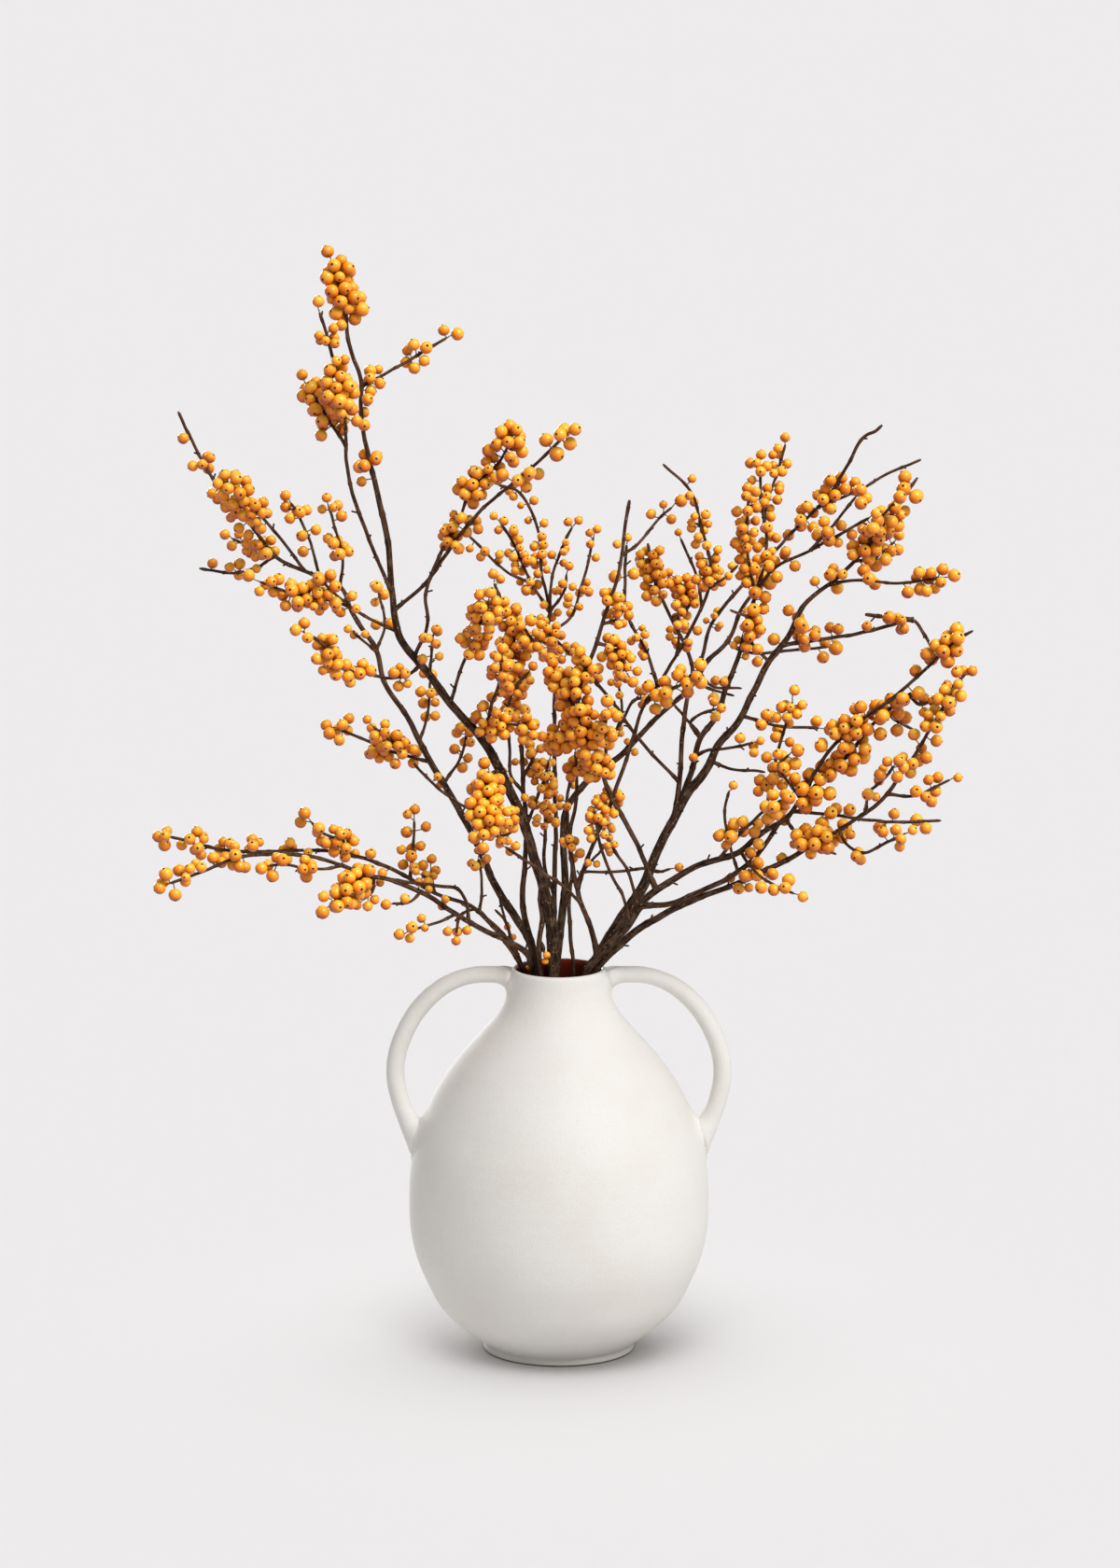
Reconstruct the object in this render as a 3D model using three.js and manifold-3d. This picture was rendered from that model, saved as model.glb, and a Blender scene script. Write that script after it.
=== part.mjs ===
// Cut winterberry holly branches with golden berries, standing in a two-handled ceramic jug.
// Millimetres, +Z up, the origin at the middle of the jug's foot. The front is towards -Y.
import * as THREE from 'three';
import { mergeVertices } from 'three/addons/utils/BufferGeometryUtils.js';
import Module from 'manifold-3d';

const wasm = await Module();
wasm.setup();

// Driving dimensions of the jug.
const JUG_HEIGHT = 264;
const JUG_FLOOR = 7;
const JUG_SEGMENTS = 32;
const HANDLE_DEPTH = 14;
const HANDLE_THICKNESS = 12.3;
const HANDLE_SIDES = 8;

// Driving dimensions of the branches.
const GAP = 0.35;
const CLEARANCE = 0.45;
const BERRY_SINK = 0.34;
const BERRY_THINNING = 9;
const GOLDEN_ANGLE = Math.PI * (3 - Math.sqrt(5));
const SIDES_THICK = 5;
const SIDES_MIDDLE = 4;
const SIDES_THIN = 3;
const THICK_TWIG = 5;
const MIDDLE_TWIG = 2.8;
const NECK_HEIGHT = 236;
const NECK_NARROWING = 0.93;
// How much deeper the fan of twigs reaches than the depths written with them.
const SPREAD = 1.4;

// The twigs are drawn on the upright plane through the jug's axis, as an eye sees them from
// 4 m in front and 1.16 m up. A twig's depth slides its points along the lines of sight.
const EYE_DISTANCE = 4000;
const EYE_HEIGHT = 1160;

const jugMaterial = new THREE.MeshStandardMaterial({ color: '#e6e2da', roughness: 0.75, metalness: 0 });
const barkMaterial = new THREE.MeshStandardMaterial({ color: '#54433a', roughness: 0.85, metalness: 0 });

function toSolid(geometry) {
  geometry.deleteAttribute('normal');
  geometry.deleteAttribute('uv');
  const merged = mergeVertices(geometry, 1e-4);
  const mesh = new wasm.Mesh({
    numProp: 3,
    vertProperties: new Float32Array(merged.attributes.position.array),
    triVerts: new Uint32Array(merged.index.array),
  });
  return new wasm.Manifold(mesh);
}

// Twigs and berries that touch become one body. Scraps and sealed hollows are dropped.
function toGeometry(solid) {
  const mesh = solid.getMesh();
  const owner = Array.from({ length: mesh.numVert }, (_, i) => i);
  const find = (i) => {
    let root = i;
    while (owner[root] !== root) root = owner[root];
    owner[i] = root;
    return root;
  };
  for (let t = 0; t < mesh.numTri; t++) {
    const [a, b, c] = mesh.triVerts.subarray(3 * t, 3 * t + 3);
    owner[find(b)] = find(a);
    owner[find(c)] = find(a);
  }
  const bodies = new Map();
  for (let t = 0; t < mesh.numTri; t++) {
    const body = find(mesh.triVerts[3 * t]);
    if (!bodies.has(body)) bodies.set(body, []);
    bodies.get(body).push(...mesh.triVerts.subarray(3 * t, 3 * t + 3));
  }
  const largest = [...bodies.values()].sort((a, b) => b.length - a.length)[0];
  const geometry = new THREE.BufferGeometry();
  geometry.setAttribute('position', new THREE.BufferAttribute(new Float32Array(mesh.vertProperties), 3));
  geometry.setIndex(largest);
  return mergeVertices(geometry.toNonIndexed(), 1e-5);
}

// A tube through a chain of points, with a radius at each and closed ends.
function tube(points, radii, sides, flat = 1) {
  const { normals, binormals } = frames(points);
  const positions = [];
  points.forEach((point, i) => {
    for (let k = 0; k < sides; k++) {
      const angle = (2 * Math.PI * k) / sides;
      const across = radii[i] * Math.cos(angle);
      const along = radii[i] * flat * Math.sin(angle);
      const ring = point.clone().addScaledVector(normals[i], across).addScaledVector(binormals[i], along);
      positions.push(ring.x, ring.y, ring.z);
    }
  });
  const index = [];
  for (let i = 0; i + 1 < points.length; i++) {
    for (let k = 0; k < sides; k++) {
      const a = i * sides + k;
      const b = i * sides + ((k + 1) % sides);
      index.push(a, b, b + sides, a, b + sides, a + sides);
    }
  }
  const last = (points.length - 1) * sides;
  for (let k = 1; k + 1 < sides; k++) {
    index.push(0, k + 1, k);
    index.push(last, last + k, last + k + 1);
  }
  const geometry = new THREE.BufferGeometry();
  geometry.setAttribute('position', new THREE.Float32BufferAttribute(positions, 3));
  geometry.setIndex(index);
  return geometry;
}

// A tangent and two crosswise directions at each point, carried along without a twist.
function frames(points) {
  const tangents = points.map((_, i) => {
    const before = points[Math.max(i - 1, 0)];
    const after = points[Math.min(i + 1, points.length - 1)];
    return after.clone().sub(before).normalize();
  });
  const normals = [];
  const binormals = [];
  let normal = new THREE.Vector3(0, 1, 0);
  for (const tangent of tangents) {
    normal = normal.clone().addScaledVector(tangent, -normal.dot(tangent)).normalize();
    normals.push(normal);
    binormals.push(tangent.clone().cross(normal));
  }
  return { tangents, normals, binormals };
}

// The jug: a turned body with a rod handle on each side, in one fired piece.
const JUG_OUTSIDE = [
  [51, 0], [49.6, 4], [63.4, 14.5], [72.9, 22.4], [81.3, 31.8], [90.7, 49.8], [98.2, 70],
  [101.5, 101], [100, 130], [95.5, 148], [85, 174.8], [71.1, 197.2], [50.9, 220.9],
  [40.6, 233.5], [35.6, 243.6], [32.6, 256], [31.4, 263.2],
];
const JUG_INSIDE = [
  [48, JUG_FLOOR], [72, 29], [86, 51.5], [94, 72], [97, 102], [94.4, 136], [81, 174],
  [57.6, 207], [37.2, 230.5], [30, 247], [28, 260],
];
// The middle of each handle's rod, from inside the neck's wall round to the shoulder.
const HANDLE_LINE = [
  [30.4, 257.2], [44, 257.7], [60, 256.2], [76, 250.4], [92, 237.5], [104, 219],
  [110, 200], [110.4, 188], [107.5, 173], [102.5, 159], [95.6, 145.6],
];

function turned(profile) {
  return toSolid(new THREE.LatheGeometry(profile, JUG_SEGMENTS).rotateX(Math.PI / 2));
}

function makeJug() {
  const lip = [[30, JUG_HEIGHT]];
  const outside = [[0, 0], ...JUG_OUTSIDE, ...lip, [0, JUG_HEIGHT]];
  const opening = [[29.2, 263.4], [30, JUG_HEIGHT + 2]];
  const inside = [[0, JUG_FLOOR], ...JUG_INSIDE, ...opening, [0, JUG_HEIGHT + 2]];
  let jug = turned(outside.map(([r, z]) => new THREE.Vector2(r, z)));
  for (const side of [-1, 1]) {
    const points = HANDLE_LINE.map(([x, z]) => new THREE.Vector3(side * x, 0, z));
    const radii = points.map(() => HANDLE_DEPTH / 2);
    jug = jug.add(toSolid(tube(points, radii, HANDLE_SIDES, HANDLE_THICKNESS / HANDLE_DEPTH)));
  }
  return toGeometry(jug.subtract(turned(inside.map(([r, z]) => new THREE.Vector2(r, z)))));
}

// A branch is a list of twigs. A twig starts on the twig that it names, or at the jug's mouth
// with a foot on the jug's floor. Its numbers are: the depths reached at even steps along it,
// the diameters of its root and tip, the points it is drawn with as [across, up], and its runs
// of berries as [start, end, berries, diameter], where start and end are parts of its length.
const branches = [];

function branch(name) {
  const twigs = new Map();
  branches.push({ name, twigs });
  return {
    stand(id, foot, depths, from, to, line, runs = []) {
      twigs.set(id, makeTwig(foot, null, depths, from, to, line, runs));
    },
    twig(id, parent, depths, from, to, line, runs = []) {
      twigs.set(id, makeTwig(null, twigs.get(parent), depths, from, to, line, runs));
    },
  };
}

function place(across, up, depth) {
  const reach = 1 + depth / EYE_DISTANCE;
  return new THREE.Vector3(across * reach, depth, EYE_HEIGHT + (up - EYE_HEIGHT) * reach);
}

function fractions(line) {
  const sums = [0];
  for (let i = 1; i < line.length; i++) {
    sums.push(sums[i - 1] + Math.hypot(line[i][0] - line[i - 1][0], line[i][1] - line[i - 1][1]));
  }
  return sums.map((sum) => sum / sums[sums.length - 1]);
}

function between(values, part) {
  const at = Math.min(Math.max(part, 0), 1) * (values.length - 1);
  const i = Math.min(Math.floor(at), values.length - 2);
  return THREE.MathUtils.lerp(values[i], values[i + 1], at - i);
}

// The point of a drawn line nearest to a place in the drawing, and its part of the length.
function nearest({ line, parts }, [x, z]) {
  let best = { distance: Infinity };
  for (let i = 0; i + 1 < line.length; i++) {
    const [ax, az] = line[i];
    const [bx, bz] = line[i + 1];
    const length = (bx - ax) ** 2 + (bz - az) ** 2;
    const t = THREE.MathUtils.clamp(((x - ax) * (bx - ax) + (z - az) * (bz - az)) / length, 0, 1);
    const point = [ax + (bx - ax) * t, az + (bz - az) * t];
    const distance = Math.hypot(point[0] - x, point[1] - z);
    if (distance < best.distance) {
      best = { distance, point, part: THREE.MathUtils.lerp(parts[i], parts[i + 1], t) };
    }
  }
  return best;
}

function makeTwig(foot, parent, depths, from, to, drawn, runs) {
  let line = drawn;
  let levels = [depths[0], ...depths.slice(1).map((depth) => depth * SPREAD)];
  if (parent) {
    const root = nearest(parent, drawn[0]);
    line = [root.point, ...drawn.slice(1)];
    levels = [between(parent.levels, root.part), ...depths.map((depth) => depth * SPREAD)];
  }
  const parts = fractions(line);
  const points = line.map(([x, z], i) => place(x, z, between(levels, parts[i])));
  const radii = parts.map((part) => THREE.MathUtils.lerp(from, to, part) / 2);
  const inside = foot ? insideJug(foot, points[0], from / 2) : [];
  return {
    line,
    parts,
    levels,
    runs,
    thickness: from,
    points: [...inside, ...points],
    radii: [...inside.map(() => from / 2), ...radii],
    first: inside.length,
  };
}

function insideJug([x, y], mouth, radius) {
  const neck = new THREE.Vector3(mouth.x * NECK_NARROWING, mouth.y * NECK_NARROWING, NECK_HEIGHT);
  const slope = neck.clone().sub(new THREE.Vector3(x, y, JUG_FLOOR)).normalize();
  const tilt = Math.sqrt(1 - slope.z * slope.z);
  return [new THREE.Vector3(x, y, JUG_FLOOR + GAP + radius * tilt), neck];
}

// The left spray: a thin stem that runs out low to the left, nearest the eye.
const spray = branch('spray_left_low');
spray.stand('main', [-30, -14], [-8, -36, -52, -64, -78], 4.2, 1.3, [
  [-18, 262], [-22, 274], [-32, 281], [-49, 289], [-69, 301], [-93, 316], [-109, 323],
  [-129, 328], [-150, 336], [-170, 341], [-198, 342], [-214, 340], [-229, 335], [-244, 328], [-261, 322],
], [[0.16, 0.34, 4, 6], [0.72, 1, 19, 8]]);
spray.twig('bridge', 'main', [-34, -40, -44], 2.2, 1.5, [
  [-61, 296], [-63, 311], [-68, 318], [-79, 320], [-97, 322], [-115, 325], [-136, 327],
], [[0.6, 1, 7, 7]]);
spray.twig('lowBunch', 'main', [-66], 2, 1.2, [
  [-128, 328], [-138, 321], [-144, 313], [-152, 308],
], [[0.1, 1, 26, 8.3]]);
spray.twig('lowSprig', 'main', [-44], 1.5, 1, [
  [-124, 327], [-125, 317], [-131, 311],
], [[0.2, 1, 5, 6.8]]);
spray.twig('under', 'main', [-74], 1.6, 1, [
  [-146, 335], [-156, 332], [-172, 333], [-184, 335], [-195, 334],
], [[0.25, 1, 10, 7.8]]);
spray.twig('spur', 'main', [-62], 1.4, 1, [
  [-93, 316], [-99, 310], [-112, 308],
], [[0.6, 1, 2, 7]]);
spray.twig('hanging', 'main', [-54], 1.7, 1, [
  [-69, 301], [-79, 296], [-89, 293], [-101, 289],
], [[0.5, 0.8, 2, 5.8], [0.85, 1, 3, 7.8]]);
spray.twig('drop', 'main', [-34], 1.5, 1, [
  [-67, 300], [-69, 288],
], [[0.3, 1, 3, 6.4]]);

// The upper spray: a second thin stem, which leaves the mouth with it and runs on close behind.
const upper = branch('spray_left_high');
upper.stand('main', [-36, 0], [-1, -14, -20, -22, -24], 3.2, 1.3, [
  [-24, 262], [-30, 273], [-45, 293], [-60, 307], [-79, 313], [-100, 325], [-119, 335],
  [-137, 341], [-165, 345], [-189, 344], [-216, 344], [-235, 347], [-253, 352], [-261, 354],
], [[0.6, 0.7, 4, 7], [0.72, 1, 24, 7.5]]);
upper.twig('crest', 'main', [-34], 1.8, 1.1, [
  [-141, 343], [-146, 351], [-153, 354], [-159, 357], [-166, 364],
], [[0.1, 1, 17, 7.4]]);
upper.twig('rise', 'main', [-6], 1.6, 1.1, [
  [-100, 325], [-99, 338], [-97, 354], [-97, 365],
], [[0.05, 0.5, 5, 6.6], [0.5, 1, 7, 7.2]]);
upper.twig('fork', 'main', [-28], 1.5, 1, [
  [-84, 315], [-85, 321], [-92, 328],
], [[0.3, 1, 5, 6.2]]);
upper.twig('forkUp', 'fork', [-16], 1.2, 1, [
  [-85, 320], [-86, 332],
], [[0.3, 1, 3, 6.6]]);
upper.twig('upright', 'main', [-4], 1.5, 1, [
  [-54, 302], [-52, 313], [-52, 325], [-54, 339],
], [[0.55, 1, 5, 6.2]]);

// The left arc: a stem that leans left, then bows out and carries dense bunches at its end.
const arc = branch('stem_left_arc');
arc.stand('main', [-22, 22], [9, 22, 34, 46, 58], 5.6, 1.3, [
  [-15, 262], [-20, 282], [-42, 319], [-56, 351], [-72, 382], [-89, 411], [-102, 437], [-117, 460],
  [-121, 479], [-137, 505], [-146, 524], [-161, 531], [-187, 543], [-203, 563], [-221, 584],
  [-237, 609], [-252, 641],
], [[0.3, 0.36, 2, 6], [0.86, 0.97, 7, 7.6]]);
arc.twig('ledge', 'main', [80], 1.8, 1, [
  [-190, 543], [-203, 536], [-216, 533], [-239, 536],
], [[0.2, 0.9, 5, 7]]);
arc.twig('dense', 'main', [34], 2, 1.1, [
  [-169, 535], [-184, 555], [-206, 580], [-220, 594],
], [[0.4, 1, 24, 7.8]]);
arc.twig('inner', 'main', [66], 1.6, 1.1, [
  [-159, 531], [-163, 546], [-172, 570], [-178, 580],
], [[0.3, 1, 9, 7.5]]);
arc.twig('upright', 'main', [30], 1.6, 1.1, [
  [-146, 524], [-144, 541], [-149, 565], [-153, 578],
], [[0.3, 1, 12, 7.5]]);
arc.twig('mass', 'main', [72], 2, 1.2, [
  [-190, 545], [-202, 552], [-214, 560], [-226, 570],
], [[0.2, 1, 20, 7.8]]);
arc.twig('sprig', 'main', [62], 1.4, 1, [
  [-120, 482], [-116, 497], [-120, 520],
], [[0.4, 1, 6, 6.5]]);
arc.twig('spur', 'main', [26], 1.2, 1, [
  [-121, 479], [-129, 486], [-137, 493],
], [[0.5, 1, 3, 6.8]]);
arc.twig('low', 'main', [46], 2.2, 1.2, [
  [-86, 405], [-105, 410], [-131, 421], [-148, 428],
], [[0.2, 0.8, 24, 7.6], [0.8, 1, 6, 7.6]]);
arc.twig('lowUp', 'low', [20], 1.6, 1.1, [
  [-104, 410], [-113, 420], [-124, 429],
], [[0.2, 1, 10, 7.6]]);
arc.twig('bud', 'main', [54], 1.5, 1, [
  [-92, 420], [-88, 436], [-86, 460],
], [[0.35, 1, 9, 7]]);
arc.twig('nook', 'main', [46], 1.8, 1.1, [
  [-76, 391], [-66, 408], [-61, 427],
], [[0.35, 1, 9, 7.2]]);
arc.twig('whisker', 'main', [26], 1.2, 1, [
  [-40, 316], [-38, 303], [-33, 289],
], [[0.6, 1, 2, 4.6]]);

// The tall stem: the thickest, leaning left and rising to the highest tip.
const tall = branch('stem_tall');
tall.stand('main', [-6, -26], [-15, -22, -32, -40, -46, -50, -54], 8, 1.5, [
  [-4, 262], [-7, 306], [-14, 331], [-24, 364], [-35, 390], [-51, 420], [-68, 439], [-87, 465],
  [-107, 492], [-111, 521], [-113, 550], [-124, 602], [-131, 640], [-131, 662], [-139, 688],
  [-141, 714], [-149, 741],
], [[0.21, 0.24, 2, 5.6], [0.69, 0.73, 6, 8], [0.79, 0.83, 3, 8], [0.92, 1, 26, 8.4]]);
tall.twig('rival', 'main', [-62, -78, -80], 2.6, 1.2, [
  [-112, 518], [-124, 550], [-136, 583], [-141, 612], [-141, 628], [-147, 665], [-152, 687], [-158, 707],
], [[0.55, 0.85, 38, 8.4], [0.86, 1, 8, 8.2]]);
tall.twig('rivalIn', 'rival', [-58], 1.8, 1.2, [
  [-141, 622], [-149, 636], [-156, 652], [-161, 664],
], [[0.1, 1, 14, 8.2]]);
tall.twig('shelf', 'main', [-22], 1.9, 1, [
  [-130, 658], [-110, 669], [-84, 684], [-74, 690],
], [[0.1, 0.5, 4, 7.2], [0.6, 1, 7, 7.4]]);
tall.twig('long', 'main', [-62, -84, -104], 2.6, 1.1, [
  [-108, 508], [-89, 526], [-69, 554], [-50, 577], [-28, 595], [-6, 615], [5, 626],
], [[0.3, 0.7, 7, 7], [0.75, 1, 12, 7.4]]);
tall.twig('longUp', 'main', [-58, -66, -74], 2.2, 1, [
  [-94, 478], [-87, 501], [-89, 517], [-81, 541], [-66, 570], [-58, 589], [-40, 607], [-31, 624],
], [[0.35, 0.56, 22, 7.4], [0.58, 0.76, 16, 7.4], [0.78, 1, 16, 7.4]]);
tall.twig('egg', 'main', [-72], 2.2, 1.2, [
  [-72, 446], [-66, 466], [-58, 485], [-52, 500], [-47, 513],
], [[0.5, 1, 34, 7.4]]);
tall.twig('wide', 'main', [-66, -86], 1.8, 1, [
  [-107, 493], [-122, 500], [-136, 508], [-150, 514], [-178, 519], [-199, 527],
], [[0.3, 0.5, 5, 7], [0.5, 1, 30, 7.8]]);
tall.twig('wideUp', 'wide', [-78], 1.3, 1, [
  [-136, 508], [-148, 518], [-157, 527],
], [[0.4, 1, 6, 7.6]]);
tall.twig('curl', 'main', [-64, -92], 2, 1.1, [
  [-92, 471], [-99, 465], [-112, 462], [-126, 464], [-141, 467], [-153, 473], [-158, 485], [-170, 493],
], [[0.12, 0.45, 6, 7], [0.45, 0.9, 20, 7.8], [0.9, 1, 3, 7.6]]);
tall.twig('stub', 'main', [-52], 1.3, 1, [
  [-85, 464], [-85, 480], [-84, 491],
], [[0.3, 1, 7, 6.8]]);
tall.twig('gather', 'main', [-50, -58], 2.2, 1.1, [
  [-51, 420], [-48, 432], [-44, 447], [-39, 463], [-38, 476],
], [[0.15, 0.45, 12, 7.2], [0.5, 1, 14, 7.2]]);
tall.twig('gatherIn', 'gather', [-38], 1.5, 1, [
  [-49, 428], [-41, 431], [-30, 434],
], [[0.2, 1, 10, 7]]);
tall.twig('front', 'main', [-52, -62], 2.4, 1.2, [
  [-40, 399], [-47, 396], [-49, 387], [-47, 377], [-50, 366], [-50, 354],
], [[0.02, 1, 36, 8.2]]);
tall.twig('frontSide', 'front', [-48], 1.6, 1, [
  [-47, 378], [-41, 371], [-36, 365],
], [[0.2, 1, 9, 7]]);
tall.twig('frontLeft', 'front', [-56, -46, -30], 1.5, 1.1, [
  [-50, 370], [-60, 373], [-73, 381], [-87, 393], [-97, 404],
], [[0, 0.2, 4, 8.4]]);
tall.twig('step', 'main', [-44], 1.7, 1, [
  [-27, 372], [-31, 358], [-37, 355], [-43, 354],
], [[0.4, 1, 5, 6.4]]);
tall.twig('strand', 'main', [-22], 2.2, 1.4, [
  [-11, 322], [-15, 312], [-12, 299], [-13, 290], [-15, 277],
], [[0.8, 1, 3, 5]]);

// The grey stem: upright behind the tall one, ending in a long column of berries.
const grey = branch('stem_grey');
grey.stand('main', [-20, 2], [-2, 2, 6, 8, 10, 12], 4.4, 1.2, [
  [-13, 262], [-18, 280], [-24, 306], [-23, 336], [-22, 360], [-24, 390], [-25, 418], [-28, 440],
  [-31, 473], [-30, 490], [-35, 506], [-43, 526],
], [[0.6, 0.9, 34, 7], [0.92, 1, 4, 6.4]]);
grey.twig('twin', 'main', [-6, -8], 2, 1.1, [
  [-24, 385], [-31, 393], [-33, 414], [-34, 441], [-29, 456], [-20, 466],
], [[0.1, 0.3, 3, 6], [0.6, 1, 14, 7]]);
grey.twig('inner', 'main', [2, 10], 2.2, 1.1, [
  [-22, 361], [-18, 371], [-13, 385], [-9, 396], [-7, 405],
], [[0.1, 0.4, 4, 6.2], [0.45, 1, 12, 6.2]]);
grey.twig('crook', 'main', [10], 1.8, 1.1, [
  [-24, 395], [-20, 402], [-16, 410], [-12, 416],
], [[0.2, 1, 9, 7]]);

// The middle stem: straight up behind the centre, then a fan of fine sprigs.
const middle = branch('stem_middle');
middle.stand('main', [-4, 16], [8, 18, 28, 36, 40], 4, 1.8, [
  [-3, 262], [-3, 320], [-2, 360], [-3, 395], [-3, 440], [-3, 462], [-8, 490], [-6, 507],
], [[0.88, 1, 14, 6]]);
middle.twig('low', 'main', [22, 24], 3, 1.4, [
  [-3, 316], [-8, 327], [-9, 363], [-9, 385], [-6, 400],
], [[0.5, 0.72, 9, 6.5], [0.75, 1, 6, 6]]);
middle.twig('fanLeft', 'main', [60], 1.9, 1, [
  [-8, 508], [-18, 526], [-31, 554], [-39, 567],
], [[0.2, 1, 26, 6.2]]);
middle.twig('fanHigh', 'main', [84], 1.8, 1, [
  [-8, 508], [-11, 531], [-14, 563], [-28, 588], [-40, 592],
], [[0.3, 1, 17, 6.2]]);
middle.twig('fanTop', 'main', [46], 1.5, 1, [
  [-6, 507], [-5, 526], [3, 552], [9, 564],
], [[0.3, 1, 8, 6.2]]);
middle.twig('fanLow', 'main', [30], 1.3, 1, [
  [-5, 507], [4, 522], [5, 532],
], [[0.3, 1, 5, 6]]);
middle.twig('fanRight', 'main', [62], 1.6, 1, [
  [-4, 492], [8, 503], [14, 521], [19, 537], [23, 557],
], [[0.25, 1, 12, 6.2]]);
middle.twig('fanOut', 'fanLeft', [28], 1.3, 1, [
  [-20, 524], [-32, 532], [-54, 552], [-60, 558],
], [[0.4, 1, 6, 6.2]]);

// The back stem: up behind the centre, then away to the right and out to the far tips.
const back = branch('stem_back');
back.stand('main', [8, 30], [18, 26, 38, 50, 58, 62], 7, 2.2, [
  [3, 262], [1, 280], [5, 318], [3, 354], [5, 372], [18, 391], [43, 411], [61, 431], [91, 460],
  [100, 474], [112, 486], [122, 509], [133, 525],
], [[0.5, 0.56, 2, 6], [0.92, 1, 4, 8]]);
back.twig('bough', 'main', [62, 70, 74], 2.6, 1.3, [
  [93, 464], [96, 478], [101, 497], [115, 517], [132, 535], [154, 559], [173, 578], [185, 591],
], [[0.2, 0.3, 5, 5], [0.5, 1, 16, 8.2]]);
back.twig('wand', 'bough', [60], 1.4, 1.1, [
  [181, 587], [187, 604], [206, 627], [213, 631],
], [[0, 0.3, 3, 8]]);
back.twig('whip', 'bough', [88], 1.7, 1, [
  [172, 577], [198, 588], [221, 601], [240, 609],
], [[0.1, 0.6, 6, 8]]);
back.twig('bar', 'main', [58, 50], 2, 1.2, [
  [113, 487], [119, 482], [156, 481], [178, 483],
], [[0.6, 1, 4, 8.4]]);
back.twig('prong', 'main', [48], 1.6, 1, [
  [92, 460], [100, 455], [117, 450],
]);
back.twig('prongUp', 'main', [70], 1.5, 1, [
  [95, 465], [101, 457], [122, 455],
], [[0.3, 0.7, 3, 7.6]]);
back.twig('strut', 'main', [46], 2.2, 1.2, [
  [29, 400], [33, 418], [42, 432], [51, 447], [60, 449],
], [[0.2, 0.6, 4, 5], [0.6, 1, 5, 6.5]]);
back.twig('needle', 'strut', [58], 1.5, 1, [
  [40, 429], [42, 440], [39, 463],
], [[0.3, 1, 5, 5.6]]);

// The right stem: thick, leaning right, forking into three boughs that spread at the top.
const right = branch('stem_right');
right.stand('main', [24, 8], [3, 2, 2, 4, 8, 12], 8.6, 1.3, [
  [17, 262], [31, 281], [46, 303], [58, 323], [66, 344], [75, 362], [85, 381], [101, 404],
  [106, 416], [117, 428], [131, 455], [140, 473], [152, 488], [163, 511], [186, 530], [207, 553],
  [225, 578], [238, 597],
], [[0.62, 0.72, 6, 8.4], [0.76, 1, 26, 8.8]]);
right.twig('rod', 'main', [4, 4, -4, 0], 4, 1.3, [
  [78, 368], [81, 397], [82, 419], [86, 449], [89, 470], [83, 487], [75, 502], [66, 522], [59, 553],
], [[0.55, 0.72, 6, 5.5], [0.72, 1, 30, 6.8]]);
right.twig('rodTop', 'rod', [10], 1.6, 1, [
  [74, 505], [80, 514], [84, 524], [76, 536],
], [[0.1, 1, 18, 6.6]]);
right.twig('post', 'main', [6, 4, 0, -2, -2], 4.6, 2.4, [
  [80, 372], [90, 403], [94, 420], [106, 437], [112, 456], [119, 474], [124, 494], [132, 522],
], [[0.55, 0.85, 7, 6], [0.88, 1, 7, 8.6]]);
right.twig('crown', 'post', [-18], 1.8, 1.1, [
  [131, 518], [128, 530], [125, 557], [126, 585],
], [[0.2, 1, 11, 7]]);
right.twig('crownMid', 'post', [20], 1.8, 1.1, [
  [132, 521], [138, 549], [134, 582], [133, 606],
], [[0.2, 1, 13, 7]]);
right.twig('crownOut', 'crownMid', [34], 1.5, 1, [
  [136, 570], [140, 585], [147, 607], [150, 619],
], [[0.2, 1, 8, 7]]);
right.twig('sideways', 'post', [-16, -26], 2, 1.1, [
  [132, 522], [140, 533], [171, 550], [206, 570],
], [[0.1, 1, 14, 8.2]]);
right.twig('sidewaysUp', 'sideways', [-34], 1.4, 1, [
  [167, 549], [187, 571], [197, 584],
], [[0.3, 1, 5, 8]]);
right.twig('cross', 'rod', [6, 10], 2.4, 1.2, [
  [80, 391], [54, 420], [31, 452], [19, 465], [9, 477],
], [[0.7, 1, 4, 6]]);
right.twig('level', 'main', [6, 4], 1.9, 1.1, [
  [62, 333], [54, 332], [33, 330], [14, 330],
]);
right.twig('knob', 'main', [-6], 1.5, 1.2, [
  [62, 331], [68, 330], [75, 332],
], [[0.9, 1, 1, 6]]);
right.twig('reach', 'post', [-12, -16], 2, 1.1, [
  [91, 409], [100, 413], [111, 414], [130, 418],
], [[0, 0.1, 1, 6.4], [0.6, 1, 4, 7]]);
right.twig('link', 'post', [-10], 2, 1.2, [
  [94, 423], [88, 431], [77, 444],
]);
right.twig('pair', 'post', [-14], 1.4, 1, [
  [94, 421], [88, 432], [94, 437], [105, 441],
], [[0.75, 1, 3, 7]]);
right.twig('shelf', 'main', [-8, -6], 2, 1.2, [
  [121, 437], [130, 434], [144, 430], [174, 428],
], [[0.25, 0.55, 5, 8], [0.9, 1, 2, 8]]);
right.twig('shelfLow', 'main', [-10], 1.7, 1.1, [
  [101, 406], [115, 400], [132, 399], [138, 398],
]);
right.twig('hoop', 'main', [22, 30, 26], 2.8, 1.5, [
  [149, 484], [181, 489], [199, 492], [222, 498], [236, 501], [244, 491], [249, 480], [250, 477],
], [[0, 0.36, 11, 8.4], [0.55, 0.75, 6, 8]]);
right.twig('cutEnd', 'hoop', [34], 3, 2.8, [
  [236, 501], [222, 503], [204, 505],
]);
right.twig('hook', 'main', [-10], 1.5, 1, [
  [138, 475], [128, 488], [127, 502], [114, 508],
], [[0.05, 0.6, 7, 7.4]]);
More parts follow.
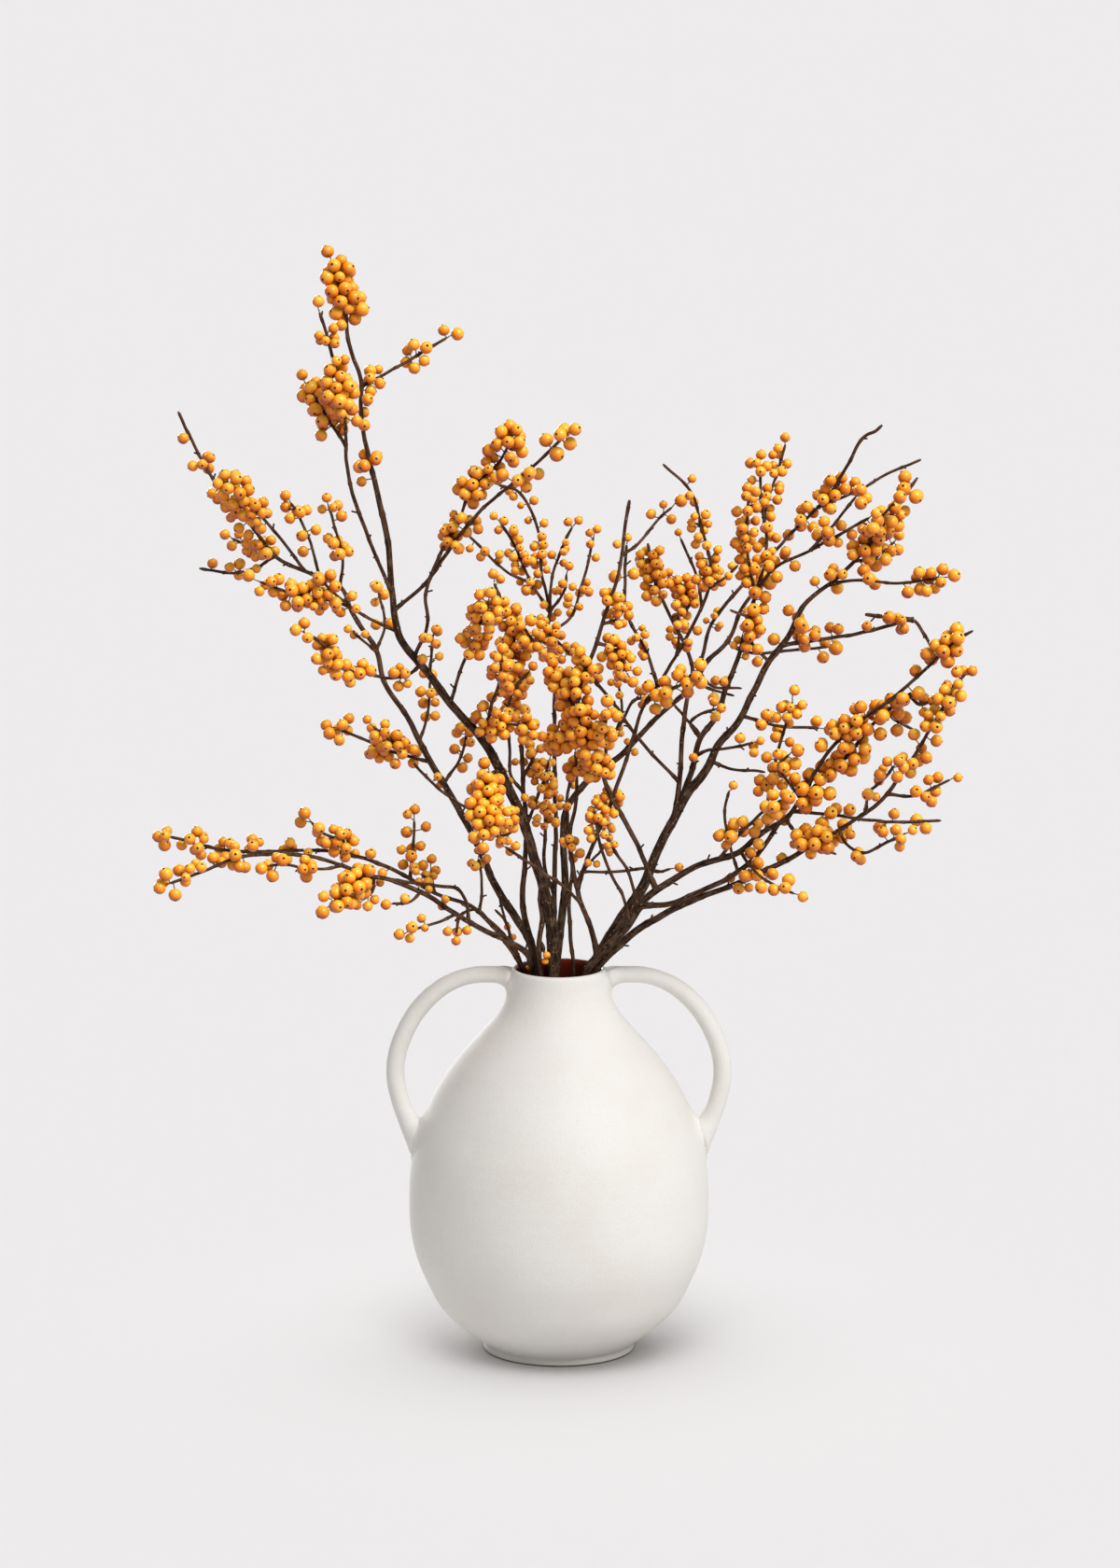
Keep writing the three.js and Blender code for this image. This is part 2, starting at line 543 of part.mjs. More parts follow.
right.twig('fan', 'main', [-4, -8], 1.9, 1, [
  [181, 524], [195, 528], [227, 526], [256, 530],
], [[0.1, 1, 13, 8.4]]);
right.twig('fanUp', 'main', [36], 1.6, 1, [
  [197, 541], [209, 542], [223, 554],
], [[0.1, 1, 8, 8.6]]);
right.twig('fanIn', 'main', [-8], 1.5, 1, [
  [206, 551], [209, 562], [222, 580],
], [[0.2, 1, 7, 8.6]]);

// The front stem: leaves the mouth at the right, sends one lean back over the middle, then
// runs out to the right and ends in the densest bunch.
const front = branch('stem_front');
front.stand('main', [20, -26], [-16, -22, -30, -38, -46, -52], 6, 1.3, [
  [14, 262], [25, 272], [44, 290], [59, 312], [73, 322], [92, 334], [120, 343], [136, 357],
  [152, 366], [163, 381], [183, 398], [194, 410], [209, 430], [220, 440], [235, 452],
], [[0.45, 0.6, 8, 8.2], [0.66, 1, 34, 9]]);
front.twig('outer', 'main', [-58, -70], 2.8, 1.2, [
  [163, 382], [181, 413], [199, 431], [227, 452], [250, 473], [260, 484], [276, 494],
], [[0.2, 0.5, 20, 8.6], [0.55, 0.95, 16, 9]]);
front.twig('under', 'main', [-62, -66], 2, 1.1, [
  [234, 451], [241, 444], [250, 448], [262, 456], [271, 464],
], [[0.1, 1, 9, 7.4]]);
front.twig('nib', 'main', [-36], 1.4, 1, [
  [219, 439], [226, 433], [237, 427],
], [[0.1, 0.5, 3, 9]]);
front.twig('lean', 'main', [-20, -26, -26, -28], 4.2, 1.6, [
  [25, 273], [22, 290], [15, 308], [9, 335], [7, 350], [11, 376], [12, 390], [11, 412],
], [[0.42, 0.58, 7, 6.4], [0.86, 1, 8, 7.6]]);
front.twig('diagonal', 'lean', [-33, -36], 2, 1.2, [
  [15, 308], [5, 318], [-15, 333], [-36, 347],
], [[0.8, 1, 3, 6.4]]);
front.twig('stride', 'lean', [-34, -30, -30], 3.2, 1.8, [
  [13, 319], [26, 357], [34, 375], [43, 401], [50, 422], [58, 446], [66, 457],
], [[0.25, 0.4, 6, 6], [0.4, 0.55, 5, 6.6]]);
front.twig('rest', 'stride', [-44], 2.2, 1.4, [
  [58, 446], [66, 450], [76, 455], [84, 459], [90, 466],
], [[0, 1, 17, 8.6]]);
front.twig('fine', 'stride', [-30, -34, -34], 2.2, 1, [
  [66, 456], [77, 475], [88, 496], [98, 517], [101, 533], [94, 566], [87, 589], [69, 606],
], [[0.16, 0.3, 6, 6], [0.42, 0.85, 20, 6], [0.9, 1, 2, 6]]);
front.twig('fineOut', 'fine', [-52], 1.4, 1, [
  [99, 523], [112, 531], [119, 538],
], [[0.3, 0.8, 2, 6]]);
front.twig('fineIn', 'fine', [-18], 1.3, 1, [
  [94, 511], [91, 532], [81, 556],
], [[0.9, 1, 1, 5.5]]);
front.twig('mast', 'fine', [-44], 1.3, 1, [
  [78, 478], [80, 495], [79, 506],
], [[0.3, 1, 5, 6]]);
front.twig('arch', 'stride', [-24, -20], 2.2, 1.1, [
  [66, 457], [59, 478], [49, 497], [45, 507], [44, 530], [45, 552],
], [[0.15, 0.4, 6, 6], [0.55, 1, 8, 7]]);
front.twig('slant', 'main', [-36, -46, -42, -34], 3.6, 1.8, [
  [65, 318], [54, 346], [33, 386], [22, 419], [14, 434], [13, 450], [25, 486], [31, 505], [40, 533],
  [44, 565], [47, 582],
], [[0.29, 0.5, 52, 7.8], [0.55, 0.68, 8, 6.6], [0.7, 0.84, 7, 6.4], [0.86, 1, 6, 6.4]]);
front.twig('slantOut', 'slant', [-56], 1.7, 1.1, [
  [23, 417], [30, 427], [33, 440],
], [[0.1, 1, 14, 7.8]]);
front.twig('slantIn', 'slant', [-30], 1.6, 1.1, [
  [22, 419], [8, 424], [-3, 420],
], [[0.1, 1, 16, 7.8]]);
front.twig('bunch', 'slant', [-50], 1.7, 1, [
  [25, 486], [34, 483], [41, 476], [45, 466],
], [[0.1, 1, 22, 6.8]]);
front.twig('bunchUp', 'slant', [-30], 1.4, 1, [
  [29, 499], [38, 501], [43, 508],
], [[0, 1, 9, 6.6]]);
front.twig('twist', 'slant', [-16], 1.5, 1, [
  [43, 545], [51, 551], [67, 570], [75, 577],
], [[0.3, 1, 5, 6.4]]);
front.twig('crossOne', 'main', [-38, -40], 2, 1.2, [
  [48, 296], [43, 313], [34, 331], [27, 351], [24, 372],
], [[0.7, 1, 12, 6.4]]);
front.twig('crossTwo', 'main', [-12, -14], 2, 1.2, [
  [54, 305], [46, 331], [34, 350], [29, 364], [32, 377],
], [[0.5, 0.7, 5, 5.6], [0.75, 1, 10, 6.2]]);
front.twig('aside', 'stride', [-44], 1.2, 1, [
  [16, 331], [25, 341], [30, 346],
], [[0.3, 1, 4, 5.2]]);
front.twig('level', 'main', [-24, 6], 2.2, 1.3, [
  [156, 372], [183, 369], [203, 366], [226, 364], [256, 365],
], [[0.15, 0.35, 4, 9], [0.5, 0.9, 4, 9]]);
front.twig('droop', 'main', [-18], 1.8, 1.2, [
  [152, 366], [160, 356], [172, 348], [186, 342],
], [[0.3, 0.6, 3, 7]]);
front.twig('second', 'main', [-30, -32, -38], 4, 3, [
  [55, 306], [74, 308], [96, 317], [122, 331], [136, 345], [148, 364],
], [[0.3, 0.9, 5, 7.8]]);
front.twig('pole', 'second', [-54], 1.6, 1, [
  [120, 330], [115, 348], [112, 378], [114, 385],
], [[0.1, 0.6, 5, 7.6], [0.6, 1, 4, 6.5]]);
front.twig('pier', 'main', [-62], 2, 1.2, [
  [107, 339], [121, 355], [141, 374], [149, 379],
], [[0.1, 1, 16, 8.2]]);
front.twig('spire', 'main', [-44, -50], 2.2, 1.1, [
  [139, 359], [141, 386], [149, 421], [156, 446],
], [[0.3, 0.7, 9, 8], [0.75, 1, 10, 7.4]]);
front.twig('tie', 'main', [-58], 1.6, 1, [
  [162, 380], [154, 391], [147, 402], [154, 410],
], [[0.1, 1, 11, 8.4]]);
front.twig('dip', 'main', [-62], 1.7, 1, [
  [121, 345], [126, 337], [139, 324], [158, 315],
], [[0.15, 1, 9, 8]]);

// The low right stem: runs out low to the right, then turns up to the widest tips.
const low = branch('stem_low_right');
low.stand('main', [34, -16], [-9, -13, -29, -46, -64, -74], 5.2, 1.4, [
  [22, 262], [33, 274], [52, 291], [87, 309], [122, 323], [149, 336], [174, 350], [200, 367],
  [212, 375], [230, 398], [251, 432], [262, 452],
], [[0.36, 0.5, 10, 7.6], [0.5, 0.66, 12, 8.6], [0.78, 1, 22, 8]]);
low.twig('trail', 'main', [-84], 1.6, 1, [
  [188, 359], [193, 349], [203, 343], [216, 348], [232, 356],
], [[0.1, 0.5, 4, 8.4], [0.6, 1, 5, 7.4]]);
low.twig('arm', 'main', [-52], 1.7, 1, [
  [219, 384], [240, 382], [251, 388], [262, 393],
], [[0.3, 1, 7, 7.4]]);
low.twig('rung', 'main', [-88], 1.9, 1, [
  [205, 371], [208, 384], [218, 394], [224, 402],
], [[0.1, 1, 9, 7.6]]);
low.twig('shoulder', 'main', [-36], 1.8, 1, [
  [160, 343], [170, 353], [184, 356],
], [[0.2, 1, 12, 8.6]]);

// The thin stem: one slim shoot between the back and front stems.
const thin = branch('stem_thin');
thin.stand('main', [12, -4], [-3, 0, 2], 2.7, 1.4, [
  [10, 262], [8, 285], [7, 309], [9, 335], [6, 362], [6, 384], [9, 396],
], [[0.8, 1, 5, 5.4]]);

// Berries are spaced by the golden angle round their twig, the last of a run at a tip on its end.
// One that would come too near another branch is left out.
function berriesOn(twig) {
  const points = twig.points.slice(twig.first);
  const radii = twig.radii.slice(twig.first);
  const { tangents, normals, binormals } = frames(points);
  const berries = [];
  let turn = 0;
  for (const [start, end, number, diameter] of twig.runs) {
    const kept = Math.max(Math.round(number / BERRY_THINNING), end === 1 ? 1 : 0);
    for (let i = 0; i < kept; i++) {
      const atTip = end === 1 && i === kept - 1;
      const part = atTip ? 1 : THREE.MathUtils.lerp(start, end, (i + 0.5) / kept);
      const step = Math.max(twig.parts.findIndex((value) => value >= part), 1);
      const local = (part - twig.parts[step - 1]) / (twig.parts[step] - twig.parts[step - 1]);
      const centre = points[step - 1].clone().lerp(points[step], local);
      const out = normals[step].clone().multiplyScalar(Math.cos(turn * GOLDEN_ANGLE));
      out.addScaledVector(binormals[step], Math.sin(turn * GOLDEN_ANGLE));
      const direction = atTip ? tangents[step] : out;
      const offset = atTip ? diameter * BERRY_SINK : radii[step] + diameter * BERRY_SINK;
      berries.push({ centre: centre.addScaledVector(direction, offset), radius: diameter / 2 });
      turn += 1;
    }
  }
  return berries;
}

function distanceToTwig(point, twig) {
  const nearestPoint = new THREE.Vector3();
  let clear = Infinity;
  for (let i = 0; i + 1 < twig.points.length; i++) {
    new THREE.Line3(twig.points[i], twig.points[i + 1]).closestPointToPoint(point, true, nearestPoint);
    clear = Math.min(clear, nearestPoint.distanceTo(point) - Math.max(twig.radii[i], twig.radii[i + 1]));
  }
  return clear;
}

function isClear(berry, own, placed) {
  for (const other of branches) {
    if (other.name === own) continue;
    for (const twig of other.twigs.values()) {
      if (distanceToTwig(berry.centre, twig) < berry.radius + CLEARANCE) return false;
    }
  }
  return placed.every((other) => {
    const apart = berry.centre.distanceTo(other.centre);
    const reach = berry.radius + other.radius;
    return other.name === own ? apart > 0.8 * reach : apart > reach + CLEARANCE;
  });
}

function sidesFor(thickness) {
  if (thickness >= THICK_TWIG) return SIDES_THICK;
  return thickness >= MIDDLE_TWIG ? SIDES_MIDDLE : SIDES_THIN;
}

function makeBranches() {
  const placed = [];
  return branches.map(({ name, twigs }) => {
    const solids = [];
    for (const twig of twigs.values()) {
      solids.push(toSolid(tube(twig.points, twig.radii, sidesFor(twig.thickness))));
      for (const berry of berriesOn(twig)) {
        if (!isClear(berry, name, placed)) continue;
        placed.push({ ...berry, name });
        const { x, y, z } = berry.centre;
        solids.push(toSolid(new THREE.IcosahedronGeometry(berry.radius, 0).translate(x, y, z)));
      }
    }
    const mesh = new THREE.Mesh(toGeometry(solids.reduce((all, solid) => all.add(solid))), barkMaterial);
    mesh.name = name;
    return mesh;
  });
}

const group = new THREE.Group();
const jug = new THREE.Mesh(makeJug(), jugMaterial);
jug.name = 'jug';
group.add(jug, ...makeBranches());

export default group;
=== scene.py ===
# Cut winterberry holly branches with golden berries and no leaves, in a two-handled stoneware jug.
# Sizes are in millimetres and become metres when a piece is made. +Z is up and -Y is the front.
import math
import random

import bpy
import numpy as np
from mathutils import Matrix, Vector, kdtree


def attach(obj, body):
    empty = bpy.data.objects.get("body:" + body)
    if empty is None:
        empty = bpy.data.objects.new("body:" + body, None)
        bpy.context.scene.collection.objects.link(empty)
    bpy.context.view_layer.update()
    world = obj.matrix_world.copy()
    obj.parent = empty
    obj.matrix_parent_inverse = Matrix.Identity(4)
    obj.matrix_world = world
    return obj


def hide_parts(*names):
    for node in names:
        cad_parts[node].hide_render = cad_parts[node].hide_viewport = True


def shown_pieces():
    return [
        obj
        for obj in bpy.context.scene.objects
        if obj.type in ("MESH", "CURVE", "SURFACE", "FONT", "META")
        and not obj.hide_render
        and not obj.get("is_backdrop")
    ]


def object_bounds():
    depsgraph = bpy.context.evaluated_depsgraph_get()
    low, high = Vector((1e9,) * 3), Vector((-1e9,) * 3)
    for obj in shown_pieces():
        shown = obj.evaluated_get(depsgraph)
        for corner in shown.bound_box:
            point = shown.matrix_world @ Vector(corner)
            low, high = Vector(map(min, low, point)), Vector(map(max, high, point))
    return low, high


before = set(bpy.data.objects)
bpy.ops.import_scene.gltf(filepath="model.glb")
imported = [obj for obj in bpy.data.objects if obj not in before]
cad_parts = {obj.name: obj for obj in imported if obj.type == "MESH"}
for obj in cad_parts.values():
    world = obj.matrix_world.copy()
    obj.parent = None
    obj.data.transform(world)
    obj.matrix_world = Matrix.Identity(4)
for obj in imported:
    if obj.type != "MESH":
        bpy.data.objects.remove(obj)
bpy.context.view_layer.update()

# The jug is stoneware, thrown on a wheel, with a rod handle pressed on at each side and all of it
# fired as one piece. A dry white glaze covers it. The neck is glazed dark red-brown inside, and the
# edge of the foot was wiped clean before firing, so it shows the brown clay.
MM = 0.001
JUG_FLOOR = 7
JUG_SEGMENTS = 240
# Half of the jug's section as (radius, height), from under the foot up the outside and down inside.
FOOT = [(43, 1.6), (46, 0), (50.4, 0), (51, 0.3), (51.3, 0.9), (51.3, 2), (50.8, 3.1), (49.8, 4.4)]
BELLY = [
    (49.8, 4.4), (54.2, 7.4), (63.4, 14.5), (72.9, 22.4), (81.3, 31.8), (90.7, 49.8), (97.3, 67),
    (100.3, 81), (101.5, 105), (100.9, 120), (98.8, 136), (96, 148), (91.6, 160), (85, 174.8),
    (71.1, 197.2), (61.2, 209.3), (50.9, 220.9), (40.6, 233.5), (35.6, 243.6), (33, 253), (32.4, 260),
]
LIP = [(32.4, 260), (32.2, 262.2), (31.2, 263.7), (30, 264), (28.9, 263.4), (28.2, 261.8), (28, 259)]
INSIDE = [
    (28, 259), (30, 247), (37.2, 230.5), (57.6, 207), (81, 174), (94.4, 136), (97, 102), (94, 72),
    (86, 51.5), (72, 29), (60, 14), (48, JUG_FLOOR),
]
BELLY_STEP, LIP_STEP, INSIDE_STEP = 2, 0.7, 6
WIPED_RINGS = 4
STEEP_LIP_RINGS = 6
# The middle line of a handle as (out from the jug's axis, height), and the share of its thickness
# that is left at a height, as it thins towards its lower end and a little towards the lip.
HANDLE_LINE = [
    (30.4, 258), (44, 259.4), (60, 258.5), (76, 252.4), (92, 238.8), (104, 219.6),
    (110, 200), (110.4, 188), (107.5, 173), (102.9, 159), (99.4, 148), (97.4, 138), (96.8, 130),
]
HANDLE_TAPER = [(130, 0.18), (138, 0.5), (147, 0.86), (154, 1), (244, 1), (257, 0.91)]
HANDLE_DEPTH = 14
HANDLE_THICKNESS = 12.3
HANDLE_SIDES = 56
HANDLE_STEP = 1.6
# The clay swells into a fillet this wide where a handle joins, but it fades out just under the lip.
FILLET = 13
FILLET_TOP, FILLET_FADE = 262, 6
# A handle stays this low beside the lip, which ends this far out, and may rise a little beyond it.
TOP_BY_LIP, LIP_OUTSIDE = 263.4, 33
RISE_BEYOND_LIP, RISE_LENGTH = 2.5, 9
GLAZE_WHITE = "#EAE8E3"
GLAZE_WARM = "#E1DCD2"
GLAZE_SPECK = "#C9C0B2"
GLAZE_RED_BROWN = "#4A1A10"
GLAZE_RUN_THIN = "#7A2C18"
BARE_CLAY = "#4B3328"
CLAY_SAND = "#6A4A38"


def linear(colour):
    """An sRGB colour such as "#EAE7E0" as the linear numbers that a shader takes."""
    values = [int(colour[i:i + 2], 16) / 255 for i in (1, 3, 5)]
    return (*[v / 12.92 if v <= 0.04045 else ((v + 0.055) / 1.055) ** 2.4 for v in values], 1)


def repeats(size):
    """The texture scale that gives a pattern this size in millimetres."""
    return 1 / (size * MM)


def fill(shader, *inputs, **named):
    """Fills in a shader node: its settings, named in small letters, and its sockets, in order or
    named with a capital and _ for a space. A node or an output is linked, and a value is set."""
    sockets = dict(enumerate(inputs))
    for name, value in named.items():
        if name[0].islower():
            setattr(shader, name, value)
        else:
            sockets[name.replace("_", " ")] = value
    for socket, value in sockets.items():
        source = value.outputs[0] if isinstance(value, bpy.types.Node) else value
        if isinstance(source, bpy.types.NodeSocket):
            shader.id_data.links.new(source, shader.inputs[socket])
        else:
            shader.inputs[socket].default_value = source
    return shader


def add(tree, kind, *inputs, **named):
    """Adds a shader node with its settings, values and links, given as fill takes them."""
    return fill(tree.nodes.new("ShaderNode" + kind), *inputs, **named)


def new_material(name, **values):
    """A material with its values set on the shader's own sockets, its node tree and that shader."""
    material = bpy.data.materials.new(name)
    material.use_nodes = True
    surface = fill(material.node_tree.nodes["Principled BSDF"], **values)
    return material, material.node_tree, surface


def smooth(points, step):
    """A rounded line through the points, one about every step, and where each lies among them."""
    points = np.array(points, float)
    chords = np.diff(points, axis=0)
    lengths = np.linalg.norm(chords, axis=1)
    ways = chords / lengths[:, None]
    before, after = lengths[:-1, None], lengths[1:, None]
    turning = (ways[:-1] * after + ways[1:] * before) / (before + after)
    slopes = np.vstack([ways[:1], turning, ways[-1:]])
    line, where = [], []
    for i, length in enumerate(lengths):
        count = max(round(length / step), 1)
        t = np.arange(count)[:, None] / count
        start = (2 * t**3 - 3 * t**2 + 1) * points[i] + (t**3 - 2 * t**2 + t) * length * slopes[i]
        end = (3 * t**2 - 2 * t**3) * points[i + 1] + (t**3 - t**2) * length * slopes[i + 1]
        line.append(start + end)
        where.append(i + t[:, 0])
    return np.vstack([*line, points[-1:]]), np.concatenate([*where, [len(lengths)]])


def frames(line):
    """Two crosswise directions at each point of a line, carried along it without a twist."""
    tangents = np.gradient(line, axis=0)
    tangents /= np.linalg.norm(tangents, axis=1)[:, None]
    normals = np.zeros_like(line)
    normal = np.array([0, 1, 0.02])
    for i, tangent in enumerate(tangents):
        normal = normal - tangent * (normal @ tangent)
        normal /= np.linalg.norm(normal)
        normals[i] = normal
    return tangents, normals, np.cross(tangents, normals)


def on_rings(values, rings, sides):
    """One value for each point of some rings, from one for all, for each ring or for each point."""
    values = np.asarray(values, float)
    return np.broadcast_to(values[:, None] if values.ndim == 1 else values, (rings, sides))


def circle(sides):
    """The angles of evenly spaced points round a circle."""
    return 2 * math.pi * np.arange(sides) / sides


def tube(line, radii, sides, flat=1.0):
    """Rings of points round a line, with a radius for all, for each ring or for each point."""
    _, normals, binormals = frames(line)
    angles = circle(sides)
    radii = on_rings(radii, len(line), sides)[..., None]
    across = np.cos(angles)[None, :, None] * normals[:, None]
    along = flat * np.sin(angles)[None, :, None] * binormals[:, None]
    return line[:, None] + radii * (across + along)


def ring_faces(rings, sides, first=0):
    """The faces of a tube with closed ends, from its number of rings and sides."""
    k = np.arange(sides)
    base = first + sides * np.arange(rings - 1)[:, None]
    a, b = base + k, base + (k + 1) % sides
    quads = np.stack([a, b, b + sides, a + sides], axis=-1).reshape(-1, 4).tolist()
    last = first + (rings - 1) * sides
    return quads + [[first + sides - 1 - i for i in range(sides)], [last + i for i in range(sides)]]


def make_piece(name, points, faces, materials, face_materials=None):
    """A smooth-shaded piece from points in millimetres. face_materials numbers the materials."""
    mesh = bpy.data.meshes.new(name)
    mesh.from_pydata((np.asarray(points) * MM).tolist(), [], faces)
    for material in materials:
        mesh.materials.append(material)
    if face_materials is not None:
        mesh.polygons.foreach_set("material_index", np.asarray(face_materials, np.int32))
    mesh.shade_smooth()
    piece = bpy.data.objects.new(name, mesh)
    bpy.context.scene.collection.objects.link(piece)
    return piece


def glazed_stoneware():
    """Dry white glaze: grains of 0.9 mm that catch the light, throwing marks every 9 mm, and a
    faint warm cast in broad patches."""
    material, tree, surface = new_material("matte_glazed_stoneware", Roughness=0.62, IOR=1.5)
    at = add(tree, "TexCoord").outputs["Object"]
    patches = add(tree, "TexNoise", at, Scale=repeats(70), Detail=2)
    grain = add(tree, "TexNoise", at, Scale=repeats(0.9), Detail=3)
    specks = add(tree, "MapRange", grain, From_Min=0.62, From_Max=0.76, To_Max=0.4)
    warmth = add(tree, "MapRange", patches, From_Min=0.4, From_Max=0.7, To_Max=0.5)
    white = add(tree, "MixRGB", warmth, linear(GLAZE_WHITE), linear(GLAZE_WARM))
    speckled = add(tree, "MixRGB", specks, white, linear(GLAZE_SPECK))
    # A wave has about three bands in each repeat of its scale.
    throwing = add(tree, "TexWave", at, bands_direction="Z", Scale=repeats(9) / 3, Distortion=1.5, Detail=2)
    relief = add(tree, "Math", throwing.outputs["Fac"], 0.12, grain, operation="MULTIPLY_ADD")
    bump = add(tree, "Bump", Strength=0.8, Distance=0.35 * MM, Height=relief)
    fill(surface, Base_Color=speckled, Normal=bump)
    return material


def two_toned(name, size, detail, colour, light_colour, **values):
    """A material whose colour wanders between two tones, in patches or grains of this size."""
    material, tree, surface = new_material(name, **values)
    at = add(tree, "TexCoord").outputs["Object"]
    patches = add(tree, "TexNoise", at, Scale=repeats(size), Detail=detail)
    fill(surface, Base_Color=add(tree, "MixRGB", patches, linear(colour), linear(light_colour)))
    return material


def swell(distance, size):
    """How far clay rises where another surface joins it this far away, as a fillet of that size."""
    near = np.clip(distance, size / 4, size)
    rise = (np.sqrt(size) - np.sqrt(near)) ** 2
    return rise * np.clip(1 + (distance - size / 4) / (size / 2), 0, 1)


def distance_to_line(points, line):
    """Each point's distance to a chain of points, the nearest place on it, and where that place
    lies among the chain's points."""
    start, step = line[:-1], np.diff(line, axis=0)
    offset = points[:, None] - start[None]
    t = np.clip((offset * step).sum(2) / (step**2).sum(1), 0, 1)
    nearest = start + t[..., None] * step
    away = np.linalg.norm(points[:, None] - nearest, axis=2)
    best = away.argmin(1)
    rows = np.arange(len(points))
    return away[rows, best], nearest[rows, best], best + t[rows, best]


def outside_distance(points, outline):
    """Distance from the turned outside of the jug, below zero inside the clay."""
    flat = np.column_stack([np.hypot(points[:, 0], points[:, 1]), points[:, 2]])
    away, _, _ = distance_to_line(flat, outline)
    inside = flat[:, 0] < np.interp(flat[:, 1], outline[:, 1], outline[:, 0])
    return np.where(inside, -away, away)


belly, _ = smooth(BELLY, BELLY_STEP)
lip, _ = smooth(LIP, LIP_STEP)
inside, _ = smooth(INSIDE, INSIDE_STEP)
profile = np.vstack([FOOT[:-1], belly[:-1], lip[:-1], inside])
lip_top = int(profile[:, 1].argmax())
turns = np.stack([np.cos(circle(JUG_SEGMENTS)), np.sin(circle(JUG_SEGMENTS))], axis=1)
rings = np.zeros((len(profile), JUG_SEGMENTS, 3))
rings[..., :2] = profile[:, None, :1] * turns
rings[..., 2] = profile[:, None, 1]

# The body swells towards a handle, and the handle's skin swells towards the body.
handle, _ = smooth([(out, 0, height) for out, height in HANDLE_LINE], HANDLE_STEP)
handle_radius = (HANDLE_DEPTH + HANDLE_THICKNESS) / 4
taper_heights, taper = zip(*HANDLE_TAPER)
slopes = np.gradient(profile, axis=0)
slopes /= np.linalg.norm(slopes, axis=1)[:, None]
for ring in range(len(FOOT), lip_top):
    out = np.column_stack([slopes[ring, 1] * turns, np.full(JUG_SEGMENTS, -slopes[ring, 0])])
    on_one_side = np.column_stack([np.abs(rings[ring][:, 0]), rings[ring][:, 1:]])
    away, nearest, _ = distance_to_line(on_one_side, handle)
    share = np.interp(nearest[:, 2], taper_heights, taper)
    under_lip = np.clip((FILLET_TOP - profile[ring, 1]) / FILLET_FADE, 0, 1)
    rings[ring] += out * under_lip * swell(away - handle_radius * share, FILLET * share)[:, None]

# The iron glaze inside the neck is glossy and breaks lighter where it ran thin, in pools of 8 mm.
# The wiped clay is dull, with grains of sand that are drawn 0.5 mm wide.
stoneware = [
    glazed_stoneware(),
    two_toned("red_brown_iron_glaze", 8, 3, GLAZE_RED_BROWN, GLAZE_RUN_THIN, Roughness=0.22, IOR=1.52),
    two_toned("bare_stoneware", 0.5, 2, BARE_CLAY, CLAY_SAND, Roughness=0.9),
]
WHITE, RED_BROWN, BARE = range(3)
face_rings = np.repeat(np.arange(len(profile) - 1), JUG_SEGMENTS)
glazes = np.where(face_rings > lip_top, RED_BROWN, np.where(face_rings < WIPED_RINGS, BARE, WHITE))
jug_faces = ring_faces(len(profile), JUG_SEGMENTS)
jug = make_piece("stoneware_jug", rings.reshape(-1, 3), jug_faces, stoneware, [*glazes, BARE, RED_BROWN])
outline = np.vstack([belly[:-1], lip[:STEEP_LIP_RINGS]])
for side in (-1, 1):
    rod = handle * [side, 1, 1]
    share = np.interp(rod[:, 2], taper_heights, taper)
    skin = tube(rod, HANDLE_DEPTH / 2 * share, HANDLE_SIDES, HANDLE_THICKNESS / HANDLE_DEPTH)
    out = skin - rod[:, None]
    out /= np.linalg.norm(out, axis=2)[..., None]
    away = outside_distance(skin.reshape(-1, 3), outline).reshape(len(rod), HANDLE_SIDES)
    skin += out * swell(away, FILLET * share[:, None])[..., None]
    beyond_lip = np.clip((np.abs(skin[..., 0]) - LIP_OUTSIDE) / RISE_LENGTH, 0, 1)
    skin[..., 2] = np.minimum(skin[..., 2], TOP_BY_LIP + RISE_BEYOND_LIP * beyond_lip)
    rod_faces = ring_faces(len(rod), HANDLE_SIDES)
    handle_piece = make_piece("handle", skin.reshape(-1, 3), rod_faces, stoneware[:1])
    joined = jug.modifiers.new("joined", "BOOLEAN")
    joined.operation = "UNION"
    joined.solver = "MANIFOLD"
    joined.object = handle_piece
    shape = bpy.data.meshes.new_from_object(jug.evaluated_get(bpy.context.evaluated_depsgraph_get()))
    jug.modifiers.clear()
    jug.data = shape
    bpy.data.objects.remove(handle_piece)
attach(jug, "root")
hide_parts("jug")

# The branches are cut winterberry stems, a season's wood with its side twigs, grown in one piece
# each. Each stands in the jug on its own cut foot and leans on the neck, and no two touch.
NECK_HEIGHT = 236
NECK_NARROWING = 0.93
FOOT_GAP = 0.35
# The foot and the place on the neck count as these parts of a stem's drawn length, below its start.
FOOT_PARTS = [-0.8, -0.1]
# A twig is drawn on the upright plane through the jug's axis, as an eye sees it from this far in
# front and this high up. Its depths, spread by this much, slide its points along the sight lines.
EYE_DISTANCE = 4000
EYE_HEIGHT = 1160
SPREAD = 1.4
RING_STEP = 1.9
# Wood with a smaller radius than this is made thicker, halfway to it.
SLIM_TWIG = 1.4
# A twig bends a little every so often, but not at its root and tip.
BEND_STEP, BEND = 9, 0.34
STILL_ROOT, STILL_TIP = 12, 8
# Bark has this many sides on wood thicker than this, low ridges that drift round it, a swollen
# collar where a side twig leaves, and a knob at each bud scar.
BARK_SIDES = [(4, 12), (2.4, 9), (0, 7)]
TWO_RIDGES, THREE_RIDGES, RIDGE_DRIFT = 0.05, 0.04, 17
TIP_LENGTH, TIP_SHARE = 0.9, 0.62
COLLAR = 0.55
FIRST_SCAR, SCAR_STEPS, LAST_SCAR = (5, 12), (8, 15), 3
SCAR_SIZES, SCAR_WIDTH = (0.18, 0.42), 1.5
